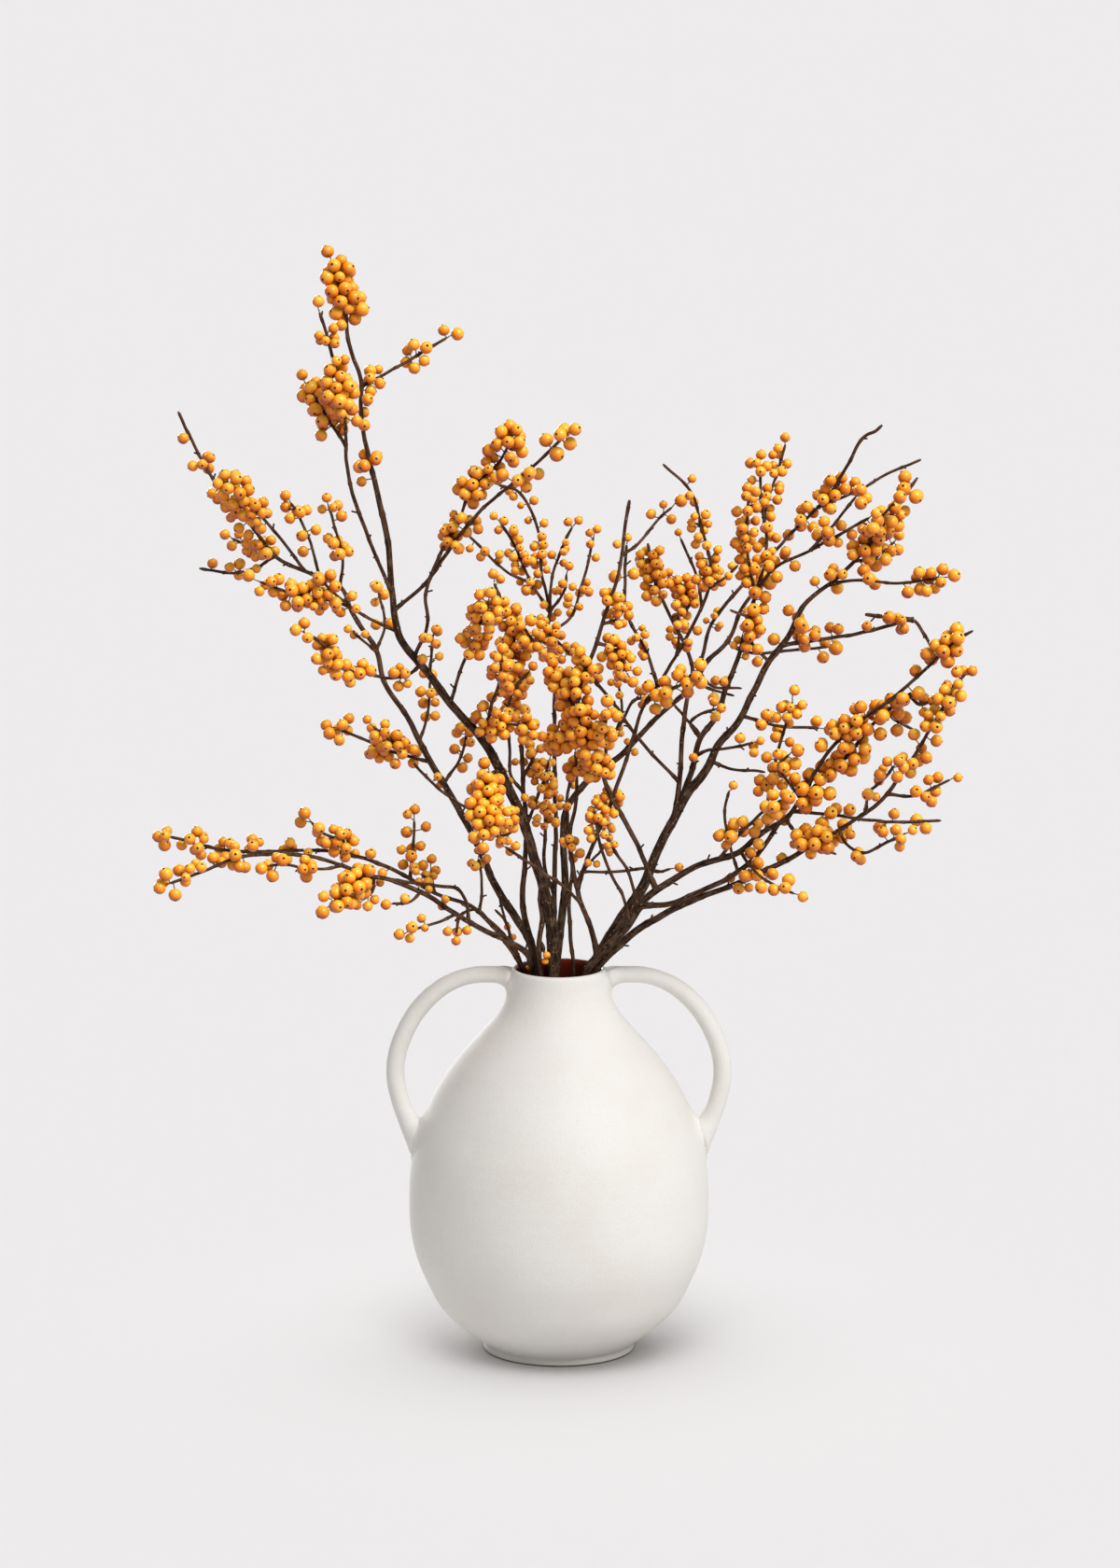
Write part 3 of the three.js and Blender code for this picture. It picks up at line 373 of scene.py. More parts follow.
# Most scars carry a short spur. Its outline runs from the wood to its bud, as parts of its length
# and as radii.
SPUR_SHARE, SPUR_TURN, SPUR_SIDES = 0.75, 2.4, 5
SPUR_LENGTHS = [0.9, 1.2, 1.6, 2.4, 3.4]
SPUR_LEANS, SPUR_BEND = (0.3, 0.9), 0.12
SPUR_PARTS = np.array([0, 0.55, 0.8, 0.95, 1])
SPUR_RADII = np.array([0.84, 0.6, 0.69, 0.54, 0.24])
YOUNG_RADIUS, OLD_RADIUS = 0.9, 2.5
PATTERN_SHIFT = 40
BARK_GREY = "#5D4634"
BARK_PALE = "#94795C"
BARK_DARK = "#1A0D05"
BARK_YOUNG = "#75513A"
BARK_YOUNG_DARK = "#341D10"
branches = []


def winterberry_bark():
    """Thin dry bark: dull and dark, with streaks 1 mm wide along the wood and pale breathing pores.
    Old wood is greyer, and young twigs are smoother and redder."""
    material, tree, surface = new_material("winterberry_bark", Roughness=0.75, Specular_IOR_Level=0.12)
    run = add(tree, "Attribute", attribute_name="bark_run").outputs["Vector"]
    age = add(tree, "Attribute", attribute_name="bark_age").outputs["Fac"]
    streaked = add(tree, "VectorMath", run, (1, 1, 0.12), operation="MULTIPLY")
    streaks = add(tree, "TexNoise", streaked, Scale=repeats(1.1), Detail=5, Roughness=0.65)
    patches = add(tree, "TexNoise", run, Scale=repeats(7), Detail=3)
    pores = add(tree, "TexVoronoi", run, Scale=repeats(3.2))
    pore = add(tree, "MapRange", pores, From_Min=0.2, From_Max=0.12, To_Max=0.75)
    light = add(tree, "MapRange", streaks, From_Min=0.42, From_Max=0.66)
    old = add(tree, "MixRGB", light, linear(BARK_DARK), linear(BARK_GREY))
    weathered = add(tree, "MapRange", patches, From_Min=0.52, From_Max=0.74, To_Max=0.3)
    grey = add(tree, "MixRGB", weathered, old, linear(BARK_PALE))
    young = add(tree, "MixRGB", light, linear(BARK_YOUNG_DARK), linear(BARK_YOUNG))
    wood = add(tree, "MixRGB", age, young, grey)
    spotted = add(tree, "MixRGB", pore, wood, linear(BARK_PALE))
    bump = add(tree, "Bump", Strength=0.7, Distance=0.3 * MM, Height=streaks)
    fill(surface, Base_Color=spotted, Normal=bump)
    return material


def on_sight_line(across, up, depth):
    """Where a drawn point lies once it is pushed this deep along the eye's line to it."""
    reach = 1 + depth / EYE_DISTANCE
    return [across * reach, depth, EYE_HEIGHT + (up - EYE_HEIGHT) * reach]


def inside_jug(foot_place, mouth, radius):
    """A stem's foot on the jug's floor and the place where it leans on the neck."""
    neck = np.array([mouth[0] * NECK_NARROWING, mouth[1] * NECK_NARROWING, NECK_HEIGHT])
    slope = neck - [*foot_place, JUG_FLOOR]
    tilt = math.hypot(slope[0], slope[1]) / np.linalg.norm(slope)
    return [[*foot_place, JUG_FLOOR + FOOT_GAP + radius * tilt], neck.tolist()]


def lengths_along(line):
    """How far along a line each of its points lies."""
    return np.cumsum([0, *np.linalg.norm(np.diff(line, axis=0), axis=1)])


class Branch:
    """One cut stem with its twigs. A twig is given by the depths reached at even steps along it,
    the diameters of its root and tip, its drawn points as (across, up), its runs of berries, and
    the twig that it grows on, where that isn't the main one. A run is (start, end, berries,
    diameter, lean): start and end are parts of the twig's length, and a lean above zero puts more
    berries to the left of its way."""

    def __init__(self, name, seed):
        self.name = name
        self.chance = random.Random(seed)
        self.twigs = {}
        branches.append(self)

    def stand(self, foot_place, depths, root, tip, drawn, runs):
        """The main twig, from its foot on the jug's floor. Its first depth is in the mouth."""
        levels = [depths[0], *[depth * SPREAD for depth in depths[1:]]]
        self.grow("main", levels, root, tip, np.array(drawn, float), runs, foot_place)

    def twig(self, name, depths, root, tip, drawn, runs=(), on="main"):
        """A side twig, from the nearest point of the twig that it grows on."""
        parent = self.twigs[on]
        drawn = np.array(drawn, float)
        _, nearest, where = distance_to_line(drawn[:1], parent["drawn"])
        drawn[0] = nearest[0]
        part = np.interp(where[0], np.arange(len(parent["parts"])), parent["parts"])
        first = np.interp(part, np.linspace(0, 1, len(parent["levels"])), parent["levels"])
        levels = [first, *[depth * SPREAD for depth in depths]]
        start = [np.interp(part, parent["line_parts"], axis) for axis in parent["line"].T]
        self.grow(name, levels, root, tip, drawn, runs, start=start)

    def grow(self, name, levels, root, tip, drawn, runs, foot_place=None, start=None):
        """Pushes a drawn twig to its depths, rounds it and works out its middle line and radii."""
        lengths = lengths_along(drawn)
        parts = lengths / lengths[-1]
        depths = np.interp(parts, np.linspace(0, 1, len(levels)), levels)
        points = [on_sight_line(*point, depth) for point, depth in zip(drawn, depths)]
        if start is not None:
            points[0] = start
        foot_parts = []
        if foot_place:
            points = inside_jug(foot_place, points[0], root / 2) + points
            foot_parts = FOOT_PARTS
        line, where = smooth(points, RING_STEP)
        line_parts = np.interp(where, np.arange(len(points)), [*foot_parts, *parts])
        radii = np.interp(line_parts, [0, 1], [root / 2, tip / 2])
        radii = np.maximum(radii, (radii + SLIM_TWIG) / 2)
        self.twigs[name] = {
            "drawn": drawn, "parts": parts, "levels": levels, "runs": runs, "root": root,
            "line": self.crook(line, line_parts), "line_parts": line_parts, "radii": radii,
            "child": start is not None,
        }

    def crook(self, line, line_parts):
        """Slight bends from bud to bud, which fade out at both ends of a twig."""
        length = lengths_along(line)
        fade = np.clip(length / STILL_ROOT, 0, 1) * np.clip((length[-1] - length) / STILL_TIP, 0, 1)
        fade *= line_parts >= 0
        bent = line.copy()
        for axis in range(3):
            kinks = [self.chance.uniform(-BEND, BEND) for _ in range(int(length[-1] / BEND_STEP) + 3)]
            bent[:, axis] += fade * np.interp(length, BEND_STEP * np.arange(len(kinks)), kinks)
        return bent

    def knobby(self, twig):
        """Radii with a collar at the root and a knob at each bud scar, and the places of those
        scars along the twig."""
        line, radii = twig["line"], twig["radii"].copy()
        length = lengths_along(line)
        if twig["child"]:
            collar_length = 1.6 * radii[0] + 0.8
            radii *= 1 + COLLAR * np.exp(-length / collar_length)
        wider_on_old_wood = 1 + radii[0] / 3
        scars = []
        at = self.chance.uniform(*FIRST_SCAR)
        while at < length[-1] - LAST_SCAR:
            if np.interp(at, length, twig["line_parts"]) > 0:
                scars.append(at)
            at += self.chance.uniform(*SCAR_STEPS) * wider_on_old_wood
        for scar in scars:
            radii += self.chance.uniform(*SCAR_SIZES) * np.exp(-((length - scar) / SCAR_WIDTH) ** 2)
        return length, radii, scars

    def bark_of(self, twig):
        """The twig's own skin and then its spurs, each as its line, radii, sides and lengths."""
        length, radii, scars = self.knobby(twig)
        line = twig["line"]
        sides = next(sides for least, sides in BARK_SIDES if twig["root"] > least)
        drift = length[:, None] / RIDGE_DRIFT
        two, three = np.sin(2 * circle(sides) + drift), np.sin(3 * circle(sides) - 2 * drift)
        ridges = 1 + TWO_RIDGES * two + THREE_RIDGES * three
        tip = np.clip((length[-1] - length) / TIP_LENGTH, TIP_SHARE, 1)
        yield line, (radii * tip)[:, None] * ridges, sides, length
        tangents, normals, binormals = frames(line)
        turn = self.chance.uniform(0, 6)
        for scar in scars:
            turn += SPUR_TURN
            if self.chance.random() > SPUR_SHARE:
                continue
            i = int(np.searchsorted(length, scar))
            out = math.cos(turn) * normals[i] + math.sin(turn) * binormals[i]
            out += tangents[i] * self.chance.uniform(*SPUR_LEANS)
            out /= np.linalg.norm(out)
            steps = SPUR_PARTS * (radii[i] + self.chance.choice(SPUR_LENGTHS))
            spur = line[i] + steps[:, None] * (out + SPUR_BEND * SPUR_PARTS[:, None] * tangents[i])
            yield spur, SPUR_RADII, SPUR_SIDES, steps + scar

    def make_bark(self):
        """The bark piece, with each point's place on the unrolled bark and its age from 0 to 1."""
        points, faces, runs, ages = [], [], [], []
        first = 0
        for twig in self.twigs.values():
            for line, radii, sides, length in self.bark_of(twig):
                points.append(tube(line, radii, sides).reshape(-1, 3))
                faces += ring_faces(len(line), sides, first)
                radii, length = on_rings(radii, len(line), sides), on_rings(length, len(line), sides)
                across, along = radii * np.cos(circle(sides)), radii * np.sin(circle(sides))
                run = np.stack([across, along, length], axis=-1)
                runs.append(run.reshape(-1, 3) + PATTERN_SHIFT * self.chance.random())
                age = (radii - YOUNG_RADIUS) / (OLD_RADIUS - YOUNG_RADIUS)
                ages.append(np.clip(age, 0, 1).ravel())
                first += len(line) * sides
        piece = make_piece(f"{self.name}_bark", np.vstack(points), faces, [bark])
        run = piece.data.attributes.new("bark_run", "FLOAT_VECTOR", "POINT")
        run.data.foreach_set("vector", (np.vstack(runs) * MM).ravel())
        age = piece.data.attributes.new("bark_age", "FLOAT", "POINT")
        age.data.foreach_set("value", np.concatenate(ages))
        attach(piece, "root")
        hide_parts(self.name)


bark = winterberry_bark()

# The left spray is a thin stem that leaves the mouth at the left and runs out low, nearest the eye.
# Its twigs hang or reach forward, and carry berries in loose bunches.
spray = Branch("spray_left_low", 3)
spray.stand((-30, -14), [-8, -36, -52, -64, -78], 4.2, 1.3, [
    (-18, 262), (-22, 274), (-32, 281), (-49, 289), (-69, 301), (-93, 316), (-109, 323),
    (-129, 328), (-150, 336), (-170, 341), (-198, 342), (-214, 340), (-229, 335), (-244, 328), (-261, 322),
], [[0.16, 0.34, 4, 6], [0.72, 0.75, 1, 8], [0.79, 0.88, 7, 8, 0.3], [0.91, 0.97, 6, 7.6, -0.8],
    [0.98, 1, 4, 8.6]])
spray.twig("bridge", [-34, -40, -44], 2.2, 1.5, [
    (-61, 296), (-63, 311), (-68, 318), (-79, 320), (-97, 322), (-115, 325), (-136, 327),
], [[0.6, 1, 5, 7]])
spray.twig("low_bunch", [-66], 2, 1.2, [
    (-128, 328), (-138, 321), (-144, 313), (-152, 308),
], [[0.1, 0.8, 22, 8.3], [0.9, 1, 3, 9.2]])
spray.twig("low_sprig", [-44], 1.5, 1, [(-124, 327), (-125, 317), (-131, 311)], [[0.2, 1, 5, 6.8]])
spray.twig("under", [-74], 1.6, 1, [
    (-146, 335), (-156, 332), (-172, 333), (-184, 335), (-195, 334),
], [[0.3, 0.6, 5, 8], [0.75, 1, 4, 8.2]])
spray.twig("spur", [-62], 1.4, 1, [(-93, 316), (-99, 310), (-112, 308)], [[0.6, 1, 2, 7]])
spray.twig("hanging", [-54], 1.7, 1, [
    (-69, 301), (-79, 296), (-89, 293), (-101, 289),
], [[0.5, 0.8, 2, 5.8], [0.85, 1, 3, 7.8]])
spray.twig("drop", [-34], 1.5, 1, [(-67, 300), (-69, 288)], [[0.3, 1, 3, 6.4]])
spray.make_bark()

# The upper spray is a second thin stem. It leaves the mouth beside the left spray, runs on close
# behind it and ends above it, with its twigs turned up.
upper = Branch("spray_left_high", 4)
upper.stand((-36, 0), [-1, -14, -20, -22, -24], 3.2, 1.3, [
    (-24, 262), (-30, 273), (-45, 293), (-60, 307), (-79, 313), (-100, 325), (-119, 335),
    (-137, 341), (-165, 345), (-189, 344), (-216, 344), (-235, 347), (-253, 352), (-261, 354),
], [[0.42, 0.6, 5, 7.4, -0.3], [0.62, 0.72, 5, 7, -0.4], [0.76, 0.8, 4, 7.6, -1], [0.83, 0.87, 5, 8.2],
    [0.9, 0.96, 8, 7.6], [0.985, 1, 4, 7.8]])
upper.twig("crest", [-34], 1.8, 1.1, [
    (-141, 343), (-146, 351), (-153, 354), (-159, 357), (-166, 364),
], [[0.1, 0.75, 14, 7.4], [0.88, 1, 3, 8.6]])
upper.twig("rise", [-6], 1.6, 1.1, [
    (-100, 325), (-99, 338), (-97, 354), (-97, 365),
], [[0.05, 0.3, 5, 7.4], [0.42, 0.5, 3, 7.4], [0.75, 1, 4, 7.6]])
upper.twig("fork", [-28], 1.5, 1, [(-84, 315), (-85, 321), (-92, 328)], [[0.3, 1, 5, 6.2]])
upper.twig("fork_up", [-16], 1.2, 1, [(-85, 320), (-86, 332)], [[0.3, 1, 3, 6.6]], on="fork")
upper.twig("upright", [-4], 1.5, 1, [
    (-54, 302), (-52, 313), (-52, 325), (-54, 339),
], [[0.55, 1, 5, 6.2]])
upper.twig("beside", [-6, -10], 2, 1.2, [
    (-24, 263), (-33, 281), (-47, 297), (-57, 304), (-63, 302), (-70, 296),
])
upper.twig("straggler", [-4], 1.5, 1, [(-24, 262), (-27, 272), (-32, 283), (-36, 296), (-43, 304)])
upper.make_bark()

# The left arc is a stem that leans left from the mouth and then bows outwards. It stands behind
# the tall stem, and its end bends under dense bunches.
arc = Branch("stem_left_arc", 5)
arc.stand((-22, 22), [9, 22, 34, 46, 58], 5.6, 1.3, [
    (-15, 262), (-20, 282), (-42, 319), (-56, 351), (-72, 382), (-89, 411), (-102, 437), (-117, 460),
    (-121, 479), (-137, 505), (-146, 524), (-161, 531), (-187, 543), (-203, 563), (-221, 584),
    (-237, 609), (-252, 641),
], [[0.3, 0.36, 2, 6], [0.75, 0.84, 14, 8, 0.5], [0.855, 0.885, 4, 7.6, 0.6], [0.9, 0.92, 5, 7.4],
    [0.952, 0.958, 1, 8.6]])
arc.twig("ledge", [80], 1.8, 1, [
    (-190, 543), (-203, 536), (-216, 533), (-239, 536),
], [[0.15, 0.2, 1, 6.5], [0.45, 0.6, 3, 8, -1], [0.82, 0.85, 1, 7.6, -1]])
arc.twig("dense", [34], 2, 1.1, [
    (-169, 535), (-184, 555), (-206, 580), (-220, 594),
], [[0.5, 0.72, 12, 7.8], [0.78, 1, 16, 8.2]])
arc.twig("inner", [66], 1.6, 1.1, [
    (-159, 531), (-163, 546), (-172, 570), (-178, 580),
], [[0.3, 1, 9, 7.5]])
arc.twig("upright", [30], 1.6, 1.1, [
    (-146, 524), (-144, 541), (-149, 565), (-153, 578),
], [[0.3, 1, 12, 7.5]])
arc.twig("mass", [72], 2, 1.2, [(-190, 545), (-205, 551), (-217, 556)], [[0.2, 1, 10, 7.6]])
arc.twig("sprig", [62], 1.4, 1, [
    (-120, 482), (-116, 497), (-120, 520),
], [[0.35, 0.6, 2, 8], [0.85, 1, 4, 7.8]])
arc.twig("spur", [26], 1.2, 1, [(-121, 479), (-129, 486), (-137, 493)], [[0.5, 1, 3, 6.8]])
arc.twig("low", [46], 2.2, 1.2, [
    (-86, 405), (-105, 410), (-131, 421), (-148, 428),
], [[0.12, 0.55, 18, 7.6, -0.2], [0.9, 1, 7, 7.8]])
arc.twig("low_up", [20], 1.6, 1.1, [
    (-104, 410), (-113, 420), (-124, 429),
], [[0.2, 1, 13, 7.6]], on="low")
arc.twig("bud", [54], 1.5, 1, [(-92, 420), (-88, 436), (-86, 460)], [[0.35, 1, 9, 7]])
arc.twig("nook", [46], 1.8, 1.1, [(-76, 391), (-66, 408), (-61, 427)], [[0.35, 1, 9, 7.2]])
arc.twig("whisker", [26], 1.2, 1, [(-40, 316), (-38, 303), (-33, 289)], [[0.6, 1, 2, 4.6]])
arc.twig("husk", [8], 1.2, 1, [(-17.5, 276), (-20.5, 272), (-21, 268)], [[0.9, 1, 1, 4.4]])
arc.make_bark()

# The tall stem is the thickest in the middle of the jug. It leans left, forks where its bark is
# oldest, and its two leaders rise side by side to the highest tip.
tall = Branch("stem_tall", 8)
tall.stand((-6, -26), [-15, -22, -32, -40, -46, -50, -54], 8, 1.5, [
    (-4, 262), (-7, 306), (-14, 331), (-24, 364), (-35, 390), (-51, 420), (-68, 439), (-87, 465),
    (-107, 492), (-111, 521), (-113, 550), (-124, 602), (-131, 640), (-131, 662), (-139, 688),
    (-141, 714), (-149, 741),
], [[0.21, 0.24, 2, 5.6], [0.7, 0.74, 6, 8, 0.4], [0.78, 0.83, 5, 8, -0.8], [0.92, 0.99, 29, 8.6, -0.2],
    [0.99, 1, 1, 8.6]])
tall.twig("rival", [-62, -78, -80], 2.6, 1.2, [
    (-112, 518), (-124, 550), (-136, 583), (-141, 612), (-141, 628), (-147, 665), (-152, 687), (-158, 707),
], [[0.6, 0.78, 26, 8.4, 0.2], [0.82, 0.84, 2, 7, -1], [0.88, 0.94, 7, 6.6], [0.98, 1, 1, 9]])
tall.twig("rival_in", [-58], 1.8, 1.2, [
    (-141, 618), (-150, 632), (-160, 648), (-167, 659),
], [[0.25, 1, 22, 8.4]], on="rival")
tall.twig("shelf", [-22], 1.9, 1, [
    (-130, 658), (-110, 669), (-84, 684), (-74, 690),
], [[0.04, 0.3, 5, 7.6, 0.9], [0.5, 0.72, 6, 7.8, 0.3], [0.94, 1, 2, 8.4]])
tall.twig("long", [-62, -84, -104], 2.6, 1.1, [
    (-108, 508), (-89, 526), (-69, 554), (-50, 577), (-28, 595), (-6, 615), (5, 626),
], [[0.3, 0.5, 5, 7.4], [0.7, 0.8, 6, 8.4, -0.7], [0.88, 1, 6, 9]])
tall.twig("long_up", [-58, -66, -74], 2.2, 1, [
    (-94, 478), (-87, 501), (-89, 517), (-81, 541), (-66, 570), (-58, 589), (-40, 607), (-31, 624),
], [[0.46, 0.6, 13, 7.4, -0.3], [0.7, 0.78, 15, 8], [0.81, 0.87, 7, 7], [0.89, 1, 15, 8.2]])
tall.twig("egg", [-72], 2.2, 1.2, [
    (-72, 446), (-66, 466), (-58, 485), (-52, 500), (-47, 513),
], [[0.5, 1, 34, 7.4]])
tall.twig("wide", (-66, -86), 1.8, 1, [
    (-107, 493), (-122, 500), (-136, 508), (-150, 514), (-178, 519), (-199, 527),
], [[0.3, 0.48, 5, 7], [0.5, 0.7, 16, 7.6, -0.2], [0.7, 1, 14, 8.2]])
tall.twig("wide_up", [-78], 1.3, 1, [
    (-136, 508), (-148, 518), (-157, 527),
], [[0.3, 1, 8, 7.6]], on="wide")
tall.twig("curl", (-64, -92), 2, 1.1, [
    (-92, 471), (-99, 465), (-112, 462), (-126, 464), (-141, 467), (-153, 473), (-158, 485), (-170, 493),
], [[0.12, 0.42, 6, 7], [0.42, 0.86, 24, 7.8, -0.8], [0.93, 1, 3, 7.6]])
tall.twig("stub", [-52], 1.3, 1, [(-85, 464), (-85, 480), (-84, 491)], [[0.3, 1, 7, 6.8]])
tall.twig("gather", (-50, -58), 2.2, 1.1, [
    (-51, 420), (-48, 432), (-44, 447), (-39, 463), (-38, 476),
], [[0.15, 0.45, 12, 7.2], [0.5, 1, 14, 7.2]])
tall.twig("gather_in", [-38], 1.5, 1, [
    (-49, 427), (-38, 430), (-27, 430), (-16, 426),
], [[0.1, 1, 22, 7.2]], on="gather")
tall.twig("front", (-52, -62), 2.4, 1.2, [
    (-40, 399), (-47, 396), (-49, 387), (-47, 377), (-50, 366), (-50, 354),
], [[0.02, 1, 36, 8.2]])
tall.twig("front_side", [-48], 1.6, 1, [
    (-47, 378), (-41, 371), (-36, 365),
], [[0.2, 1, 9, 7]], on="front")
tall.twig("front_left", [-56, -46, -30], 1.5, 1.1, [
    (-50, 370), (-60, 373), (-73, 381), (-87, 393), (-97, 404),
], [[0, 0.2, 4, 8.4]], on="front")
tall.twig("step", [-44], 1.7, 1, [(-27, 372), (-31, 358), (-37, 355), (-43, 354)], [[0.4, 1, 5, 6.4]])
tall.twig("strand", [-14, -9], 3.8, 3.6, [
    (-11, 322), (-12.5, 311), (-11, 299), (-13.2, 280), (-12.6, 262), (-12, 240),
])
tall.twig("husk", [-13], 1.3, 1, [
    (-12.8, 283), (-10.6, 279), (-10, 274),
], [[0.6, 1, 2, 5.2]], on="strand")
tall.make_bark()

# The grey stem is an upright shoot close behind the tall one. It branches low down, and its upper
# half is one long column of berries.
grey = Branch("stem_grey", 13)
grey.stand((-20, 2), [-2, 2, 6, 8, 10, 12], 4.4, 1.2, [
    (-13, 262), (-18, 280), (-24, 306), (-23, 336), (-22, 360), (-24, 390), (-25, 418), (-28, 440),
    (-31, 473), (-30, 490), (-35, 506), (-43, 526),
], [[0.61, 0.75, 20, 7.2], [0.76, 0.93, 36, 7.6], [0.95, 1, 3, 6.6]])
grey.twig("twin", (-6, -8), 2, 1.1, [
    (-24, 385), (-31, 393), (-33, 414), (-34, 441), (-29, 456), (-20, 466),
], [[0.1, 0.3, 3, 6], [0.55, 1, 19, 7]])
grey.twig("shoulder", [-8], 1.7, 1.1, [
    (-32, 500), (-27, 499), (-17, 488), (-9, 486),
], [[0.2, 1, 10, 7.8]])
grey.twig("inner", (2, 10), 2.2, 1.1, [
    (-22, 361), (-18, 371), (-13, 385), (-9, 396), (-7, 405),
], [[0.1, 0.4, 4, 6.2], [0.45, 1, 12, 6.2]])
grey.twig("crook", [10], 1.8, 1.1, [(-24, 395), (-20, 402), (-16, 410), (-12, 416)], [[0.2, 1, 9, 7]])
grey.make_bark()

# The middle stem is a straight shoot that rises behind the centre. It carries nothing until its
# top, which opens into a fan of fine sprigs with small berries.
middle = Branch("stem_middle", 21)
middle.stand((-4, 16), [8, 18, 28, 36, 40], 4, 1.8, [
    (-3, 262), (-3, 320), (-2, 360), (-3, 395), (-3, 440), (-3, 462), (-8, 490), (-6, 507),
], [[0.86, 1, 17, 6.2]])
middle.twig("low", (22, 24), 3, 1.4, [
    (-3, 316), (-8, 327), (-9, 363), (-9, 385), (-6, 400),
], [[0.5, 0.72, 9, 6.5], [0.75, 1, 6, 6]])
middle.twig("fan_left", [60], 1.9, 1, [
    (-8, 508), (-18, 526), (-31, 554), (-39, 567),
], [[0.2, 1, 26, 6.2]])
middle.twig("fan_high", [84], 1.8, 1, [
    (-8, 508), (-11, 531), (-14, 563), (-28, 588), (-40, 592),
], [[0.3, 1, 17, 6.2]])
middle.twig("fan_top", [46], 1.5, 1, [(-6, 507), (-5, 526), (3, 552), (9, 564)], [[0.3, 1, 8, 6.2]])
middle.twig("fan_low", [30], 1.3, 1, [(-5, 507), (4, 522), (5, 532)], [[0.3, 1, 5, 6]])
middle.twig("fan_right", [62], 1.6, 1, [
    (-4, 492), (8, 503), (14, 521), (19, 537), (23, 557),
], [[0.25, 1, 12, 6.2]])
middle.twig("fan_out", [28], 1.3, 1, [
    (-20, 524), (-32, 532), (-54, 552), (-60, 558),
], [[0.4, 1, 6, 6.2]], on="fan_left")
middle.make_bark()

# The back stem stands furthest from the eye. It rises up the middle, turns away to the right, and
# ends in bare wands that reach past the berries.
back = Branch("stem_back", 34)
back.stand((4, 30), [18, 26, 38, 50, 58, 62], 5.6, 2.4, [
    (-2, 262), (0, 282), (4, 318), (3, 354), (5, 372), (18, 391), (43, 411), (61, 431), (91, 460),
    (100, 474), (112, 486), (122, 509), (133, 525),
], [[0.5, 0.56, 2, 6], [0.92, 1, 4, 8]])
back.twig("bough", [62, 70, 74], 2.6, 1.3, [
    (93, 464), (96, 478), (101, 497), (115, 517), (132, 535), (154, 559), (173, 578), (185, 591),
], [[0.2, 0.3, 5, 5], [0.5, 1, 16, 8.2]])
back.twig("wand", [60], 2.4, 1.8, [
    (181, 587), (192, 607), (205, 626), (208, 627), (214, 632),
], [[0, 0.12, 3, 8.4, 0.6]], on="bough")
back.twig("whip", [88], 1.7, 1, [
    (172, 577), (198, 588), (221, 601), (240, 609),
], [[0.02, 0.12, 2, 8.2], [0.25, 0.42, 4, 8.4, 0.4]], on="bough")
back.twig("bar", (58, 50), 2, 1.2, [(113, 487), (119, 482), (156, 481), (178, 483)], [[0.6, 1, 4, 8.4]])
back.twig("prong", [48], 1.6, 1, [(92, 460), (100, 455), (117, 450)])
back.twig("prong_up", [70], 1.5, 1, [(95, 465), (101, 457), (122, 455)], [[0.3, 0.7, 3, 7.6]])
back.twig("strut", [46], 2.2, 1.2, [
    (29, 400), (33, 418), (42, 432), (51, 447), (60, 449),
], [[0.2, 0.6, 4, 5], [0.6, 1, 5, 6.5]])
back.twig("needle", [58], 1.5, 1, [(40, 429), (42, 440), (39, 463)], [[0.3, 1, 5, 5.6]], on="strut")
back.make_bark()

# The right stem is a thick stem that leans right along the mouth's edge. Three boughs fork from
# it and spread at the top, the outer one with a bowed twig and a blunt cut end.
right = Branch("stem_right", 55)
right.stand((28, 8), [3, 2, 2, 4, 8, 12], 8.2, 1.3, [
    (22, 262), (32, 281), (46, 303), (58, 323), (66, 344), (75, 362), (85, 381), (101, 404),
    (106, 416), (117, 428), (131, 455), (140, 473), (152, 488), (163, 511), (186, 530), (207, 553),
    (225, 578), (238, 597),
], [[0.62, 0.7, 5, 8.4], [0.73, 0.8, 5, 8.4, 0.6], [0.82, 0.95, 17, 8.8, -0.8], [0.95, 0.99, 5, 9]])
right.twig("rod", [4, 4, -4, 0], 4, 1.3, [
    (78, 368), (81, 397), (82, 419), (86, 449), (89, 470), (83, 487), (75, 502), (66, 522), (59, 553),
], [[0.55, 0.7, 5, 5.5], [0.8, 0.9, 12, 6.8], [0.88, 0.96, 16, 6.8]])
right.twig("rod_top", [10], 1.6, 1, [
    (75, 502), (82, 506), (87, 512), (83, 522), (77, 530),
], [[0.08, 1, 24, 6.8]], on="rod")
right.twig("post", [6, 4, 0, -2, -2], 4.6, 2.4, [
    (80, 372), (90, 403), (94, 420), (106, 437), (112, 456), (119, 474), (124, 494), (132, 522),
], [[0.55, 0.78, 4, 6, 0.8], [0.8, 0.96, 7, 9, -1.2], [0.97, 1, 3, 9.6]])
right.twig("crown", [-18], 1.8, 1.1, [
    (131, 518), (128, 530), (125, 557), (126, 585),
], [[0.1, 0.9, 23, 7.2, 0.7], [0.95, 1, 3, 7.2]], on="post")
right.twig("crown_mid", [20], 1.8, 1.1, [
    (132, 521), (138, 549), (134, 582), (133, 606),
], [[0.2, 1, 20, 7]], on="post")
right.twig("crown_out", [34], 1.5, 1, [
    (136, 570), (140, 585), (147, 607), (150, 619),
], [[0.1, 1, 14, 7]], on="crown_mid")
right.twig("sideways", (-16, -26), 2, 1.1, [
    (132, 522), (140, 533), (171, 550), (206, 570),
], [[0.1, 1, 14, 8.2]], on="post")
right.twig("sideways_up", [-34], 1.4, 1, [
    (167, 549), (187, 571), (197, 584),
], [[0.3, 1, 5, 8]], on="sideways")
